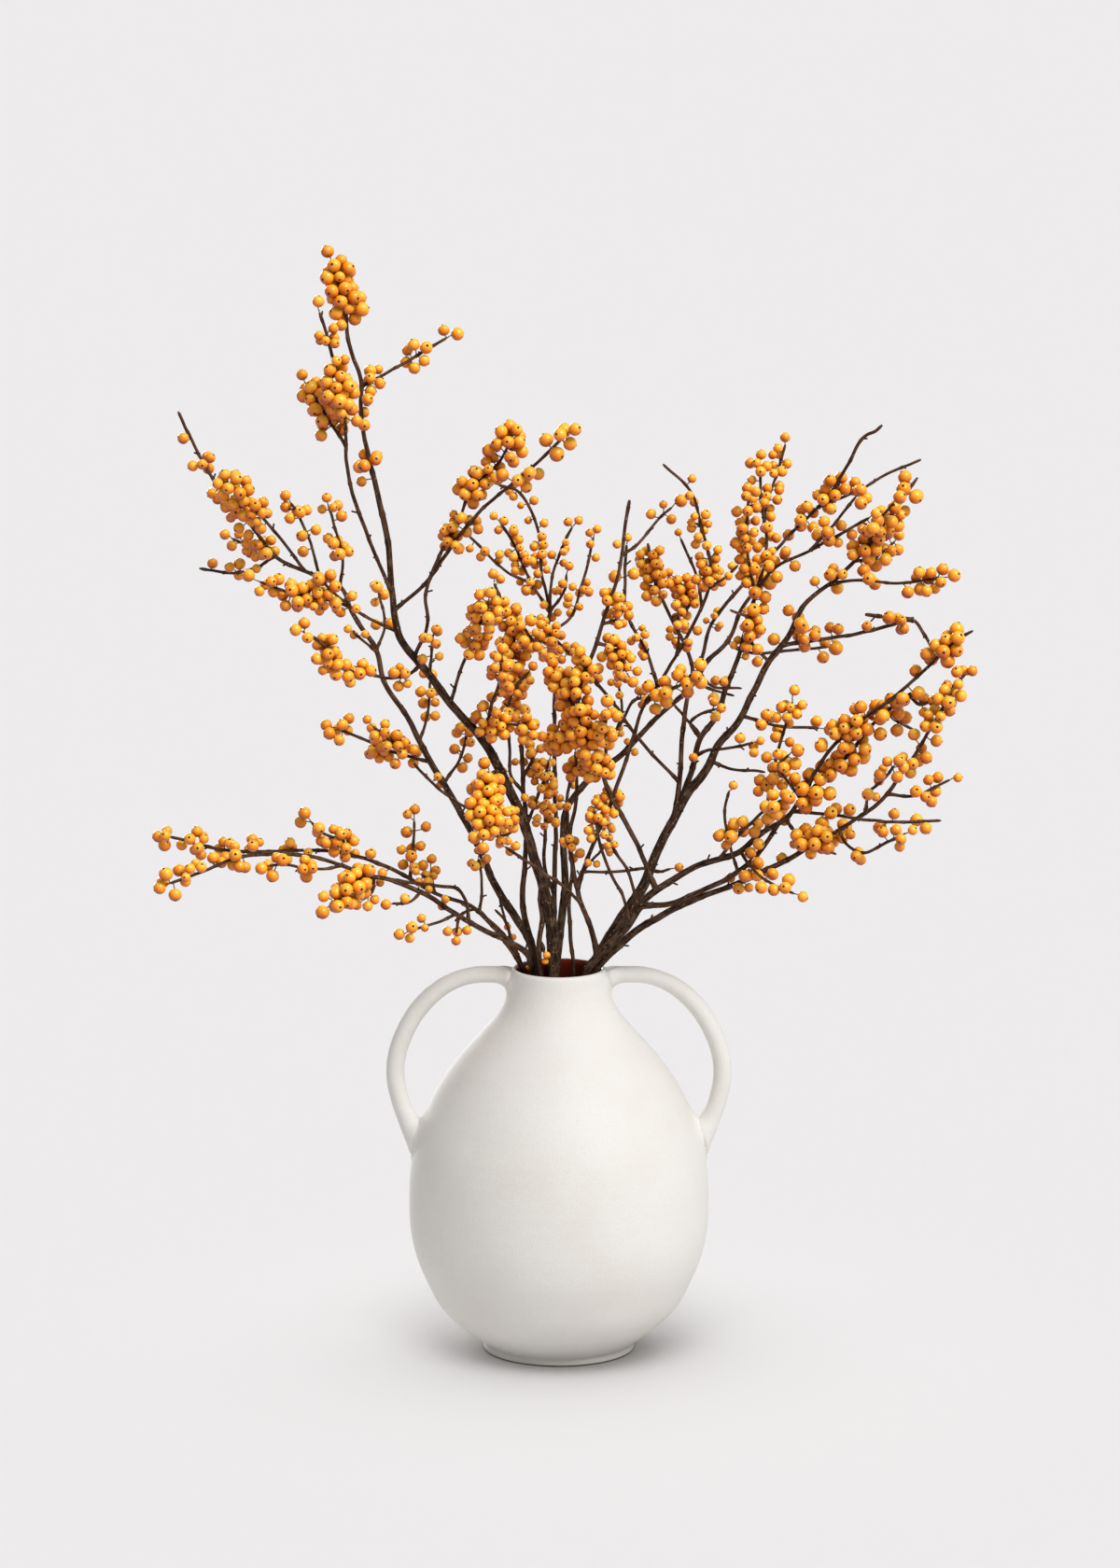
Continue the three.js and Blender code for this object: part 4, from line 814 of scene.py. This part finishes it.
right.twig("cross", (6, 10), 2.4, 1.2, [
    (80, 391), (54, 420), (31, 452), (19, 465), (9, 477), (-2, 488), (-8, 493),
], [[0.62, 0.78, 5, 6], [0.8, 1, 17, 6.4]], on="rod")
right.twig("level", (6, 4), 1.9, 1.1, [(62, 333), (54, 332), (33, 330), (14, 330)])
right.twig("knob", [-6], 1.5, 1.2, [(62, 331), (68, 330), (75, 332)], [[0.9, 1, 1, 6]])
right.twig("reach", (-12, -16), 2, 1.1, [
    (91, 409), (100, 413), (111, 414), (130, 418),
], [[0, 0.1, 1, 6.4], [0.6, 1, 4, 7]], on="post")
right.twig("link", [-10], 2, 1.2, [(94, 423), (88, 431), (77, 444)], on="post")
right.twig("pair", [-14], 1.4, 1, [
    (94, 421), (88, 432), (94, 437), (105, 441),
], [[0.75, 1, 3, 7]], on="post")
right.twig("shelf", (-8, -6), 2, 1.2, [
    (121, 437), (130, 434), (144, 430), (174, 428),
], [[0.25, 0.55, 5, 8], [0.9, 1, 2, 8]])
right.twig("shelf_low", [-10], 1.7, 1.1, [(101, 406), (115, 400), (132, 399), (138, 398)])
right.twig("hoop", [22, 30, 26], 2.8, 1.5, [
    (149, 484), (181, 489), (199, 492), (222, 498), (236, 501), (244, 491), (249, 480), (250, 477),
], [[0.03, 0.2, 6, 8.2, 0.8], [0.25, 0.33, 3, 9.4, 0.5], [0.46, 0.48, 1, 9, 1], [0.6, 0.7, 5, 8.4, 0.3]])
right.twig("cut_end", [34], 3, 2.8, [(236, 501), (222, 503), (204, 505)], on="hoop")
right.twig("hook", [-10], 1.5, 1, [
    (138, 475), (128, 488), (127, 502), (114, 508),
], [[0.05, 0.6, 7, 7.4]])
right.twig("fan", (-4, -8), 1.9, 1, [
    (181, 524), (195, 528), (227, 526), (256, 530),
], [[0.1, 1, 13, 8.4]])
right.twig("fan_up", [36], 1.6, 1, [(197, 541), (209, 542), (223, 554)], [[0.1, 1, 8, 8.6]])
right.twig("fan_in", [-8], 1.5, 1, [(206, 551), (209, 562), (222, 580)], [[0.2, 1, 7, 8.6]])
right.make_bark()

# The front stem leaves the mouth at the right and leans on the neck nearest the eye. One twig
# turns back over the middle, and its main line runs out right to the densest bunch.
front = Branch("stem_front", 89)
front.stand((22, -24), [-13, -22, -30, -38, -46, -52], 6, 1.3, [
    (19, 262), (27, 273), (44, 290), (59, 312), (73, 322), (92, 334), (120, 343), (136, 357),
    (152, 366), (163, 381), (183, 398), (194, 410), (209, 430), (220, 440), (235, 452),
], [[0.47, 0.6, 4, 8.2], [0.64, 0.86, 27, 9], [0.86, 0.97, 9, 9]])
front.twig("outer", (-58, -70), 2.8, 1.2, [
    (163, 382), (181, 413), (199, 431), (227, 452), (250, 473), (260, 484), (276, 494),
], [[0.2, 0.5, 20, 8.6], [0.55, 0.95, 16, 9]])
front.twig("under", (-62, -66), 2, 1.1, [
    (234, 451), (241, 444), (250, 448), (262, 456), (271, 464),
], [[0.1, 1, 9, 7.4]])
front.twig("nib", [-36], 1.4, 1, [(219, 439), (226, 433), (237, 427)], [[0.1, 0.5, 3, 9]])
front.twig("lean", [-20, -26, -26, -28], 4.2, 1.6, [
    (25, 273), (22, 290), (15, 308), (9, 335), (7, 350), (11, 376), (12, 390), (11, 412),
], [[0.42, 0.58, 7, 6.4], [0.86, 1, 8, 7.6]])
front.twig("diagonal", (-33, -36), 2, 1.2, [
    (15, 308), (5, 318), (-15, 333), (-36, 347),
], [[0.8, 1, 3, 6.4]], on="lean")
front.twig("stride", [-34, -30, -30], 3.2, 1.8, [
    (13, 319), (26, 357), (34, 375), (43, 401), (50, 422), (58, 446), (66, 457),
], [[0.25, 0.4, 6, 6], [0.4, 0.55, 5, 6.6]], on="lean")
front.twig("rest", [-44], 2.2, 1.4, [
    (58, 446), (66, 450), (76, 455), (84, 459), (90, 466),
], [[0, 1, 17, 8.6]], on="stride")
front.twig("fine", [-30, -34, -34], 2.2, 1, [
    (66, 456), (77, 475), (88, 496), (98, 517), (101, 533), (94, 566), (87, 589), (69, 606),
], [[0.16, 0.3, 6, 6], [0.45, 0.58, 18, 6.6], [0.61, 0.75, 10, 6.4, 0.4],
    [0.79, 0.82, 2, 6], [0.86, 0.88, 1, 6]], on="stride")
front.twig("fine_out", [-52], 1.4, 1, [(99, 523), (112, 531), (119, 538)], [[0.3, 0.8, 2, 6]], on="fine")
front.twig("fine_in", [-18], 1.3, 1, [(94, 511), (91, 532), (81, 556)], [[0.9, 1, 1, 5.5]], on="fine")
front.twig("mast", [-44], 1.3, 1, [(78, 478), (80, 495), (79, 506)], [[0.3, 1, 5, 6]], on="fine")
front.twig("arch", (-24, -20), 2.2, 1.1, [
    (66, 457), (59, 478), (49, 497), (45, 507), (44, 530), (45, 552),
], [[0.15, 0.45, 7, 6], [0.74, 0.8, 2, 8.6], [0.93, 1, 1, 6]], on="stride")
front.twig("slant", [-36, -46, -42, -34], 3.6, 1.8, [
    (65, 318), (54, 346), (33, 386), (22, 419), (14, 434), (13, 450), (25, 486), (31, 505), (40, 533),
    (44, 565), (47, 582),
], [[0.3, 0.37, 14, 7.6, 0.8], [0.38, 0.48, 24, 7.8, 0.4], [0.5, 0.61, 16, 7.4, 0.4], [0.7, 0.77, 7, 6.8],
    [0.87, 0.9, 1, 6.4]])
front.twig("slant_out", [-56], 1.7, 1.1, [
    (23, 417), (30, 427), (33, 440),
], [[0.1, 1, 14, 7.8]], on="slant")
front.twig("slant_back", [-26], 1.7, 1.1, [
    (14, 434), (8, 446), (2, 458), (-3, 468),
], [[0.1, 1, 24, 7.6]], on="slant")
front.twig("slant_in", [-30], 1.6, 1.1, [
    (22, 419), (8, 424), (-3, 420),
], [[0.1, 1, 16, 7.8]], on="slant")
front.twig("bunch", [-50], 1.7, 1, [
    (25, 486), (34, 483), (41, 476), (45, 466),
], [[0.1, 1, 22, 6.8]], on="slant")
front.twig("bunch_up", [-30], 1.4, 1, [(29, 499), (38, 501), (43, 508)], [[0, 1, 9, 6.6]], on="slant")
front.twig("twist", [-16], 1.5, 1, [
    (43, 545), (51, 551), (67, 570), (75, 577),
], [[0.7, 0.88, 3, 7, 0.5], [0.95, 1, 1, 8.2]], on="slant")
front.twig("cross_one", (-38, -40), 2, 1.2, [
    (48, 296), (43, 313), (34, 331), (27, 351), (24, 372),
], [[0.7, 1, 12, 6.4]])
front.twig("cross_two", (-12, -14), 2, 1.2, [
    (54, 305), (46, 331), (34, 350), (29, 364), (32, 377),
], [[0.5, 0.7, 5, 5.6], [0.75, 1, 10, 6.2]])
front.twig("aside", [-44], 1.2, 1, [(16, 331), (25, 341), (30, 346)], [[0.3, 1, 4, 5.2]], on="stride")
front.twig("level", (-24, 6), 2.2, 1.3, [
    (156, 372), (183, 369), (203, 366), (226, 364), (256, 365),
], [[0.15, 0.35, 4, 9], [0.5, 0.9, 4, 9]])
front.twig("droop", [-18], 1.8, 1.2, [
    (152, 366), (160, 356), (172, 348), (186, 342),
], [[0.3, 0.6, 3, 7]])
front.twig("second", [-30, -32, -38], 4, 3, [
    (55, 306), (74, 308), (96, 317), (122, 331), (136, 345), (148, 364),
], [[0.5, 0.9, 3, 7.8]])
front.twig("pole", [-54], 1.6, 1, [
    (120, 330), (115, 348), (112, 378), (114, 385),
], [[0.15, 0.5, 4, 7.6], [0.95, 1, 1, 7.2]], on="second")
front.twig("pier", [-62], 2, 1.2, [(107, 339), (121, 355), (141, 374), (149, 379)], [[0.3, 1, 15, 8.2]])
front.twig("spire", (-44, -50), 2.2, 1.1, [
    (139, 359), (141, 386), (149, 421), (156, 446),
], [[0.3, 0.7, 9, 8], [0.75, 1, 10, 7.4]])
front.twig("tie", [-58], 1.6, 1, [(162, 380), (154, 391), (147, 402), (154, 410)], [[0.1, 1, 11, 8.4]])
front.twig("dip", [-62], 1.7, 1, [(121, 345), (126, 337), (139, 324), (158, 315)], [[0.15, 1, 9, 8]])
front.make_bark()

# The low right stem runs out low to the right in front of the others, then turns up to the widest
# tips, with berries along its whole outer half.
low = Branch("stem_low_right", 144)
low.stand((34, -10), [-5, -12, -29, -46, -64, -74], 5.2, 1.4, [
    (24.5, 262), (33, 272), (52, 289), (87, 309), (122, 323), (149, 336), (174, 350), (200, 367),
    (212, 375), (230, 398), (251, 432), (262, 452),
], [[0.36, 0.5, 5, 7.6], [0.52, 0.66, 10, 8.4], [0.78, 1, 22, 8]])
low.twig("trail", [-84], 1.6, 1, [
    (188, 359), (193, 349), (203, 343), (216, 348), (232, 356),
], [[0.1, 0.5, 4, 8.4], [0.6, 1, 5, 7.4]])
low.twig("arm", [-52], 1.7, 1, [(219, 384), (240, 382), (251, 388), (262, 393)], [[0.3, 1, 7, 7.4]])
low.twig("rung", [-88], 1.9, 1, [(205, 371), (208, 384), (218, 394), (224, 402)], [[0.1, 1, 9, 7.6]])
low.twig("shoulder", [-36], 1.8, 1, [(160, 343), (170, 353), (184, 356)], [[0.2, 1, 12, 8.6]])
low.make_bark()

# The thin stem is a single slim shoot, held between the back and front stems where they leave
# the mouth.
thin = Branch("stem_thin", 233)
thin.stand((12, -4), [-3, 0, 2], 2.7, 1.4, [
    (10, 262), (8, 285), (7, 309), (9, 335), (6, 362), (6, 384), (9, 396),
], [[0.8, 1, 5, 5.4]])
thin.make_bark()

# The berries are ripe winterberry fruits: smooth, faintly waxy skin over a firm pulp, each on a
# short stalk from a bud scar, with the dark dry dot of its flower at the far end. They press
# against each other and the wood where they crowd, but never run through them.
GOLDEN_ANGLE = math.pi * (3 - math.sqrt(5))
# Berries grow in clusters round buds, turned by about the golden angle each, and some buds bear
# more than others. Where they crowd, their stalks are longer.
BUD_STEP, BERRIES_A_BUD, BUD_SHARES, BUD_PARTS = 10, 2.5, (0.5, 1.5), (0.15, 0.85)
TURN_WANDER, FORWARD_LEANS, TIP_LEAN = 0.35, (-0.1, 0.55), 4
SMALLEST, LARGEST, USUAL = 0.8, 1.16, 1.06
SHORTEST_STALK, LONGEST_STALK, CROWDED_STALK, MOST_CROWDED = 0.5, 1.9, 0.6, 5
BERRY_SIDES = 14
# Half of a berry's outline, as the angle from its dot in degrees and the part of its radius.
BERRY_OUTLINE = [
    (0, 1.045), (8.5, 1.035), (12, 0.972), (18, 0.976), (28, 0.997), (42, 1), (59, 1), (77, 1), (95, 1),
    (113, 0.995), (131, 0.985), (149, 0.968), (166, 0.95), (180, 0.94),
]
BERRY_HEIGHT = 0.97
DOT_RINGS = 2
STALK_RADII = np.array([0.527, 0.3825, 0.4675])
STALK_SIDES = 5
DOT_TILT = 0.25
# A piece of berries has its materials in this order.
SKIN, DOT, STALK = range(3)
# While they settle, a berry takes half of each push between two and most of a push off the wood,
# and is drawn back by part of how far it is past its stalk's reach.
SETTLING_ROUNDS = 60
BERRY_PUSH, WOOD_PUSH, STALK_PULL = 0.5, 0.8, 0.4
WOOD_CLEARANCE, WOOD_MARGIN = 0.25, 0.6
# Pale gold is painted light on the side of a berry towards the key light, and deep orange is painted shade
# beneath it. Each berry's own tone and blush shift where they fall.
BERRY_PALE = "#FFC43A"
BERRY_GOLD = "#F99108"
BERRY_DEEP = "#A03A00"
# The way towards the key light: the skin facing it is painted paler, and the skin facing away is painted
# deeper orange.
PAINTED_LIGHT_WAY = (0.42, -0.25, 0.87)
DOT_BROWN = "#24130B"
DOT_RIM = "#3A2214"
STALK_BROWN = "#6E4C2C"
STALK_PALE = "#8A6B3C"


def berry_skin():
    """Golden skin: a soft waxy gloss over pulp that lets some light in. Each berry has its own tone
    and blushed patches of about 4 mm, with painted light and shade on top: paler on the side towards
    the key light and deeper orange beneath."""
    material, tree, surface = new_material(
        "winterberry_skin", Roughness=0.26, IOR=1.49, Subsurface_Weight=0.14, Subsurface_Scale=1.4 * MM,
        Subsurface_Radius=(1, 0.45, 0.12))
    at = add(tree, "TexCoord").outputs["Object"]
    tone = add(tree, "Attribute", attribute_name="berry_tone").outputs["Fac"]
    # Painted light and shade: the skin is painted paler on the side facing the key light and deeper orange
    # on the side facing away from it.
    facing = add(tree, "NewGeometry").outputs["Normal"]
    painted_light_side = add(tree, "VectorMath", facing, PAINTED_LIGHT_WAY, operation="DOT_PRODUCT").outputs["Value"]
    blush = add(tree, "TexNoise", at, Scale=repeats(4), Detail=3)
    tone_and_painted_light = add(tree, "Math", tone, 0.55, painted_light_side, operation="MULTIPLY_ADD")
    ripeness_and_painted_light = add(tree, "Math", blush, -0.7, tone_and_painted_light, operation="MULTIPLY_ADD")
    gold = add(tree, "MapRange", ripeness_and_painted_light, From_Min=-0.75, From_Max=0.2)
    pale = add(tree, "MapRange", ripeness_and_painted_light, From_Min=0.16, From_Max=0.85)
    golden = add(tree, "MixRGB", gold, linear(BERRY_DEEP), linear(BERRY_GOLD))
    skin = add(tree, "MixRGB", pale, golden, linear(BERRY_PALE))
    pores = add(tree, "TexNoise", at, Scale=repeats(0.5), Detail=2)
    bump = add(tree, "Bump", Strength=0.12, Distance=0.1 * MM, Height=pores)
    fill(surface, Base_Color=skin, Normal=bump)
    return material


def hang(twig, chance):
    """The twig's berries before they settle: centre, radius, anchor on the wood, reach from there
    and the wood's radius. They grow in clusters, each round a bud scar."""
    line, line_parts = twig["line"], twig["line_parts"]
    tangents, normals, binormals = frames(line)
    steps = np.linalg.norm(np.diff(line, axis=0), axis=1)
    length = steps[line_parts[1:] > 0].sum()
    turn = chance.uniform(0, 6)
    for start, end, number, diameter, *lean in twig["runs"]:
        span = length * (end - start)
        crowd = number * diameter / max(span, diameter)
        buds = min(max(round(span / BUD_STEP), 1), math.ceil(number / BERRIES_A_BUD))
        shares = [chance.uniform(*BUD_SHARES) for _ in range(buds)]
        for i in range(number):
            turn += GOLDEN_ANGLE + chance.uniform(-TURN_WANDER, TURN_WANDER)
            at_tip = end == 1 and i == number - 1
            bud = chance.choices(range(buds), shares)[0]
            part = 1 if at_tip else start + (end - start) * (bud + chance.uniform(*BUD_PARTS)) / buds
            k = min(int(np.searchsorted(line_parts, part)), len(line) - 1)
            out = math.cos(turn) * normals[k] + math.sin(turn) * binormals[k]
            out += tangents[k] * (TIP_LEAN if at_tip else chance.uniform(*FORWARD_LEANS))
            if lean and not at_tip:
                out += lean[0] * np.array([-tangents[k][2], 0, tangents[k][0]])
            out /= np.linalg.norm(out)
            radius = diameter / 2 * chance.triangular(SMALLEST, LARGEST, USUAL)
            longest = LONGEST_STALK + CROWDED_STALK * min(crowd, MOST_CROWDED)
            stalk = chance.uniform(SHORTEST_STALK, longest)
            reach = twig["radii"][k] + stalk + radius
            yield line[k] + out * reach, radius, line[k], reach, twig["radii"][k]


def lookup(points):
    """The points sorted for a quick search of those near a place."""
    tree = kdtree.KDTree(len(points))
    for i, point in enumerate(points):
        tree.insert(point, i)
    tree.balance()
    return tree


def settle(centres, radii, anchors, reaches):
    """Pushes berries off each other and off all the wood, and keeps each within its stalk's reach."""
    twigs = [twig for stem in branches for twig in stem.twigs.values()]
    wood = lookup(np.vstack([twig["line"] for twig in twigs]))
    wood_radii = np.concatenate([twig["radii"] for twig in twigs])
    largest, thickest = max(radii), max(wood_radii) + WOOD_MARGIN
    for _ in range(SETTLING_ROUNDS):
        berries = lookup(centres)
        moves = np.zeros_like(centres)
        for i, centre in enumerate(centres):
            centre = Vector(centre)
            move = Vector((0, 0, 0))
            for other, j, away in berries.find_range(centre, radii[i] + largest):
                overlap = radii[i] + radii[j] - away
                if j != i and overlap > 0:
                    move += (centre - other) * (BERRY_PUSH * overlap / max(away, 0.01))
            deepest = 0
            for spot, j, away in wood.find_range(centre, radii[i] + thickest):
                overlap = radii[i] + wood_radii[j] + WOOD_CLEARANCE - away
                if overlap > deepest:
                    deepest = overlap
                    off_wood = (centre - spot) * (WOOD_PUSH * overlap / max(away, 0.01))
            moves[i] = move + off_wood if deepest else move
        centres = centres + moves
        arms = centres - anchors
        lengths = np.linalg.norm(arms, axis=1)
        centres -= arms * (STALK_PULL * np.clip(lengths - reaches, 0, None) / lengths)[:, None]
    return centres


def berry_shape():
    """A berry of radius 1 with its dot towards +Z, and its faces with the material of each."""
    at, size = np.array(BERRY_OUTLINE[1:-1]).T
    at = np.radians(at)
    sides = np.stack([np.cos(circle(BERRY_SIDES)), np.sin(circle(BERRY_SIDES))], axis=1)
    rings = np.zeros((len(at), BERRY_SIDES, 3))
    rings[..., :2] = (size * np.sin(at))[:, None, None] * sides
    rings[..., 2] = (size * np.cos(at))[:, None]
    dot_end, stalk_end = [0, 0, BERRY_OUTLINE[0][1]], [0, 0, -BERRY_OUTLINE[-1][1]]
    points = np.vstack([[dot_end], rings.reshape(-1, 3), [stalk_end]])
    last = len(points) - 1
    faces, slots = [], []
    for k in range(BERRY_SIDES):
        after = (k + 1) % BERRY_SIDES
        faces.append([0, 1 + k, 1 + after])
        faces.append([last, last - BERRY_SIDES + after, last - BERRY_SIDES + k])
        slots += [DOT, SKIN]
        for ring in range(len(rings) - 1):
            base = 1 + ring * BERRY_SIDES
            faces.append([base + k, base + BERRY_SIDES + k, base + BERRY_SIDES + after, base + after])
            slots.append(DOT if ring < DOT_RINGS - 1 else SKIN)
    return points * [1, 1, BERRY_HEIGHT], faces, slots


def turned_to(direction, chance):
    """A turn that brings +Z to a direction, as the rows of three crosswise directions."""
    spin = np.array([chance.uniform(-1, 1) for _ in range(3)])
    side = np.cross(direction, spin)
    side /= np.linalg.norm(side)
    return np.array([side, np.cross(direction, side), direction])


def make_berries(stem, berries):
    """One piece of a stem's berries with their stalks, from each one's centre, radius, anchor on
    the wood and the wood's radius."""
    shape, shape_faces, shape_slots = berry_shape()
    points, faces, slots, tones = [], [], [], []
    first = 0
    for centre, radius, anchor, wood_radius in berries:
        arm = centre - anchor
        out = arm / np.linalg.norm(arm)
        tilt = out + np.array([stem.chance.uniform(-DOT_TILT, DOT_TILT) for _ in range(3)])
        tilt /= np.linalg.norm(tilt)
        points.append(centre + radius * shape @ turned_to(tilt, stem.chance))
        faces += [[first + k for k in face] for face in shape_faces]
        slots += shape_slots
        first += len(shape)
        base = centre - 0.9 * radius * tilt
        root = anchor + out * 0.5 * wood_radius
        bend = (root + base) / 2 - 0.1 * radius * (tilt - out)
        points.append(tube(np.array([root, bend, base]), STALK_RADII, STALK_SIDES).reshape(-1, 3))
        stalk_faces = ring_faces(3, STALK_SIDES, first)
        faces += stalk_faces
        slots += [STALK] * len(stalk_faces)
        first += 3 * STALK_SIDES
        tones.append(np.full(len(shape) + 3 * STALK_SIDES, stem.chance.random()))
    piece = make_piece(f"{stem.name}_berries", np.vstack(points), faces, berry_materials, slots)
    tone = piece.data.attributes.new("berry_tone", "FLOAT", "POINT")
    tone.data.foreach_set("value", np.concatenate(tones))
    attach(piece, "root")


# The flower's dot and the stalk are dry plant tissue: dull, with fibres that are drawn 0.6 mm wide.
berry_materials = [
    berry_skin(),
    two_toned("dried_flower_dot", 0.6, 2, DOT_BROWN, DOT_RIM, Roughness=0.8),
    two_toned("berry_stalk", 0.6, 2, STALK_BROWN, STALK_PALE, Roughness=0.8),
]
grown = [(stem, twig) for stem in branches for twig in stem.twigs.values()]
hung = [(stem, *berry) for stem, twig in grown for berry in hang(twig, stem.chance)]
owners, *columns = zip(*hung)
centres, radii, anchors, reaches, wood_radii = map(np.array, columns)
centres = settle(centres, radii, anchors, reaches)
for stem in branches:
    mine = [i for i, owner in enumerate(owners) if owner is stem]
    make_berries(stem, [(centres[i], radii[i], anchors[i], wood_radii[i]) for i in mine])

# The studio: a seamless pale paper floor, a wide soft light from the front right with a share for
# the branches and one for the jug, a low weak one from behind, two soft ones from above for the
# floor, where only the jug casts a shadow, and a dim even room round it all.
PAPER = "#EEECED"
FLOOR_SIZE = 60000
ROOM = 0.33
EYE = (0.75 * MM, -EYE_DISTANCE * MM, EYE_HEIGHT * MM)
AIM = (0.75 * MM, 0, 390 * MM)
LENS = 139.65
CLIP_END = 200


def soft_light(name, strength, side, height, spread, lit, shading):
    """A far lamp at these angles right of the eye and above the floor, and this wide across, which
    lights some pieces and is shaded by some."""
    light = bpy.data.lights.new(name, "SUN")
    light.energy = strength
    light.angle = math.radians(spread)
    lamp = bpy.data.objects.new(name, light)
    side, height = math.radians(side), math.radians(height)
    away = math.cos(height)
    towards = Vector((math.sin(side) * away, -math.cos(side) * away, math.sin(height)))
    lamp.rotation_euler = towards.to_track_quat("Z", "Y").to_euler()
    bpy.context.scene.collection.objects.link(lamp)
    receivers = bpy.data.collections.new(f"{name}_lights")
    blockers = bpy.data.collections.new(f"{name}_is_shaded_by")
    for piece in lit:
        receivers.objects.link(piece)
    for piece in shading:
        blockers.objects.link(piece)
    lamp.light_linking.receiver_collection = receivers
    lamp.light_linking.blocker_collection = blockers


half = FLOOR_SIZE / 2
corners = [(-half, -half, 0), (half, -half, 0), (half, half, 0), (-half, half, 0)]
# Matte paper: one pale tone with no shine.
paper, _, _ = new_material("seamless_paper", Roughness=0.9, Base_Color=linear(PAPER), Specular_IOR_Level=0)
floor = make_piece("studio_floor", corners, [[0, 1, 2, 3]], [paper])
floor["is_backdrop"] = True
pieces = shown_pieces()
wood_and_jug = [piece for piece in pieces if not piece.name.endswith("_berries")]
stems_and_berries = [piece for piece in pieces if piece is not jug]
key = {"side": 40, "height": 49, "spread": 32}
soft_light("key_on_branches", strength=3.05, **key, lit=stems_and_berries, shading=pieces)
soft_light("key_on_jug", strength=2.35, **key, lit=[jug], shading=wood_and_jug)
soft_light("overhead", strength=1.47, side=5, height=94, spread=90, lit=[floor], shading=[jug])
soft_light("forward", strength=0.7, side=5, height=63, spread=30, lit=[floor], shading=[jug])
soft_light("behind", strength=1.35, side=195, height=1, spread=24, lit=pieces, shading=pieces)

room = bpy.data.worlds.new("room")
bpy.context.scene.world = room
room.use_nodes = True
tree = room.node_tree
ways = add(tree, "LightPath")
even = fill(tree.nodes["Background"], (1, 1, 1, 1), ROOM)
seen = add(tree, "Background", linear(PAPER), 1)
mixed = add(tree, "MixShader", ways.outputs["Is Camera Ray"], even, seen)
fill(tree.nodes["World Output"], mixed)
bpy.context.scene.view_settings.view_transform = "Standard"

camera = bpy.data.objects.new("eye", bpy.data.cameras.new("eye"))
camera.data.lens = LENS
camera.data.clip_end = CLIP_END
camera.location = EYE
camera.rotation_euler = (Vector(AIM) - Vector(EYE)).to_track_quat("-Z", "Y").to_euler()
bpy.context.scene.collection.objects.link(camera)
bpy.context.scene.camera = camera

low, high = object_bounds()
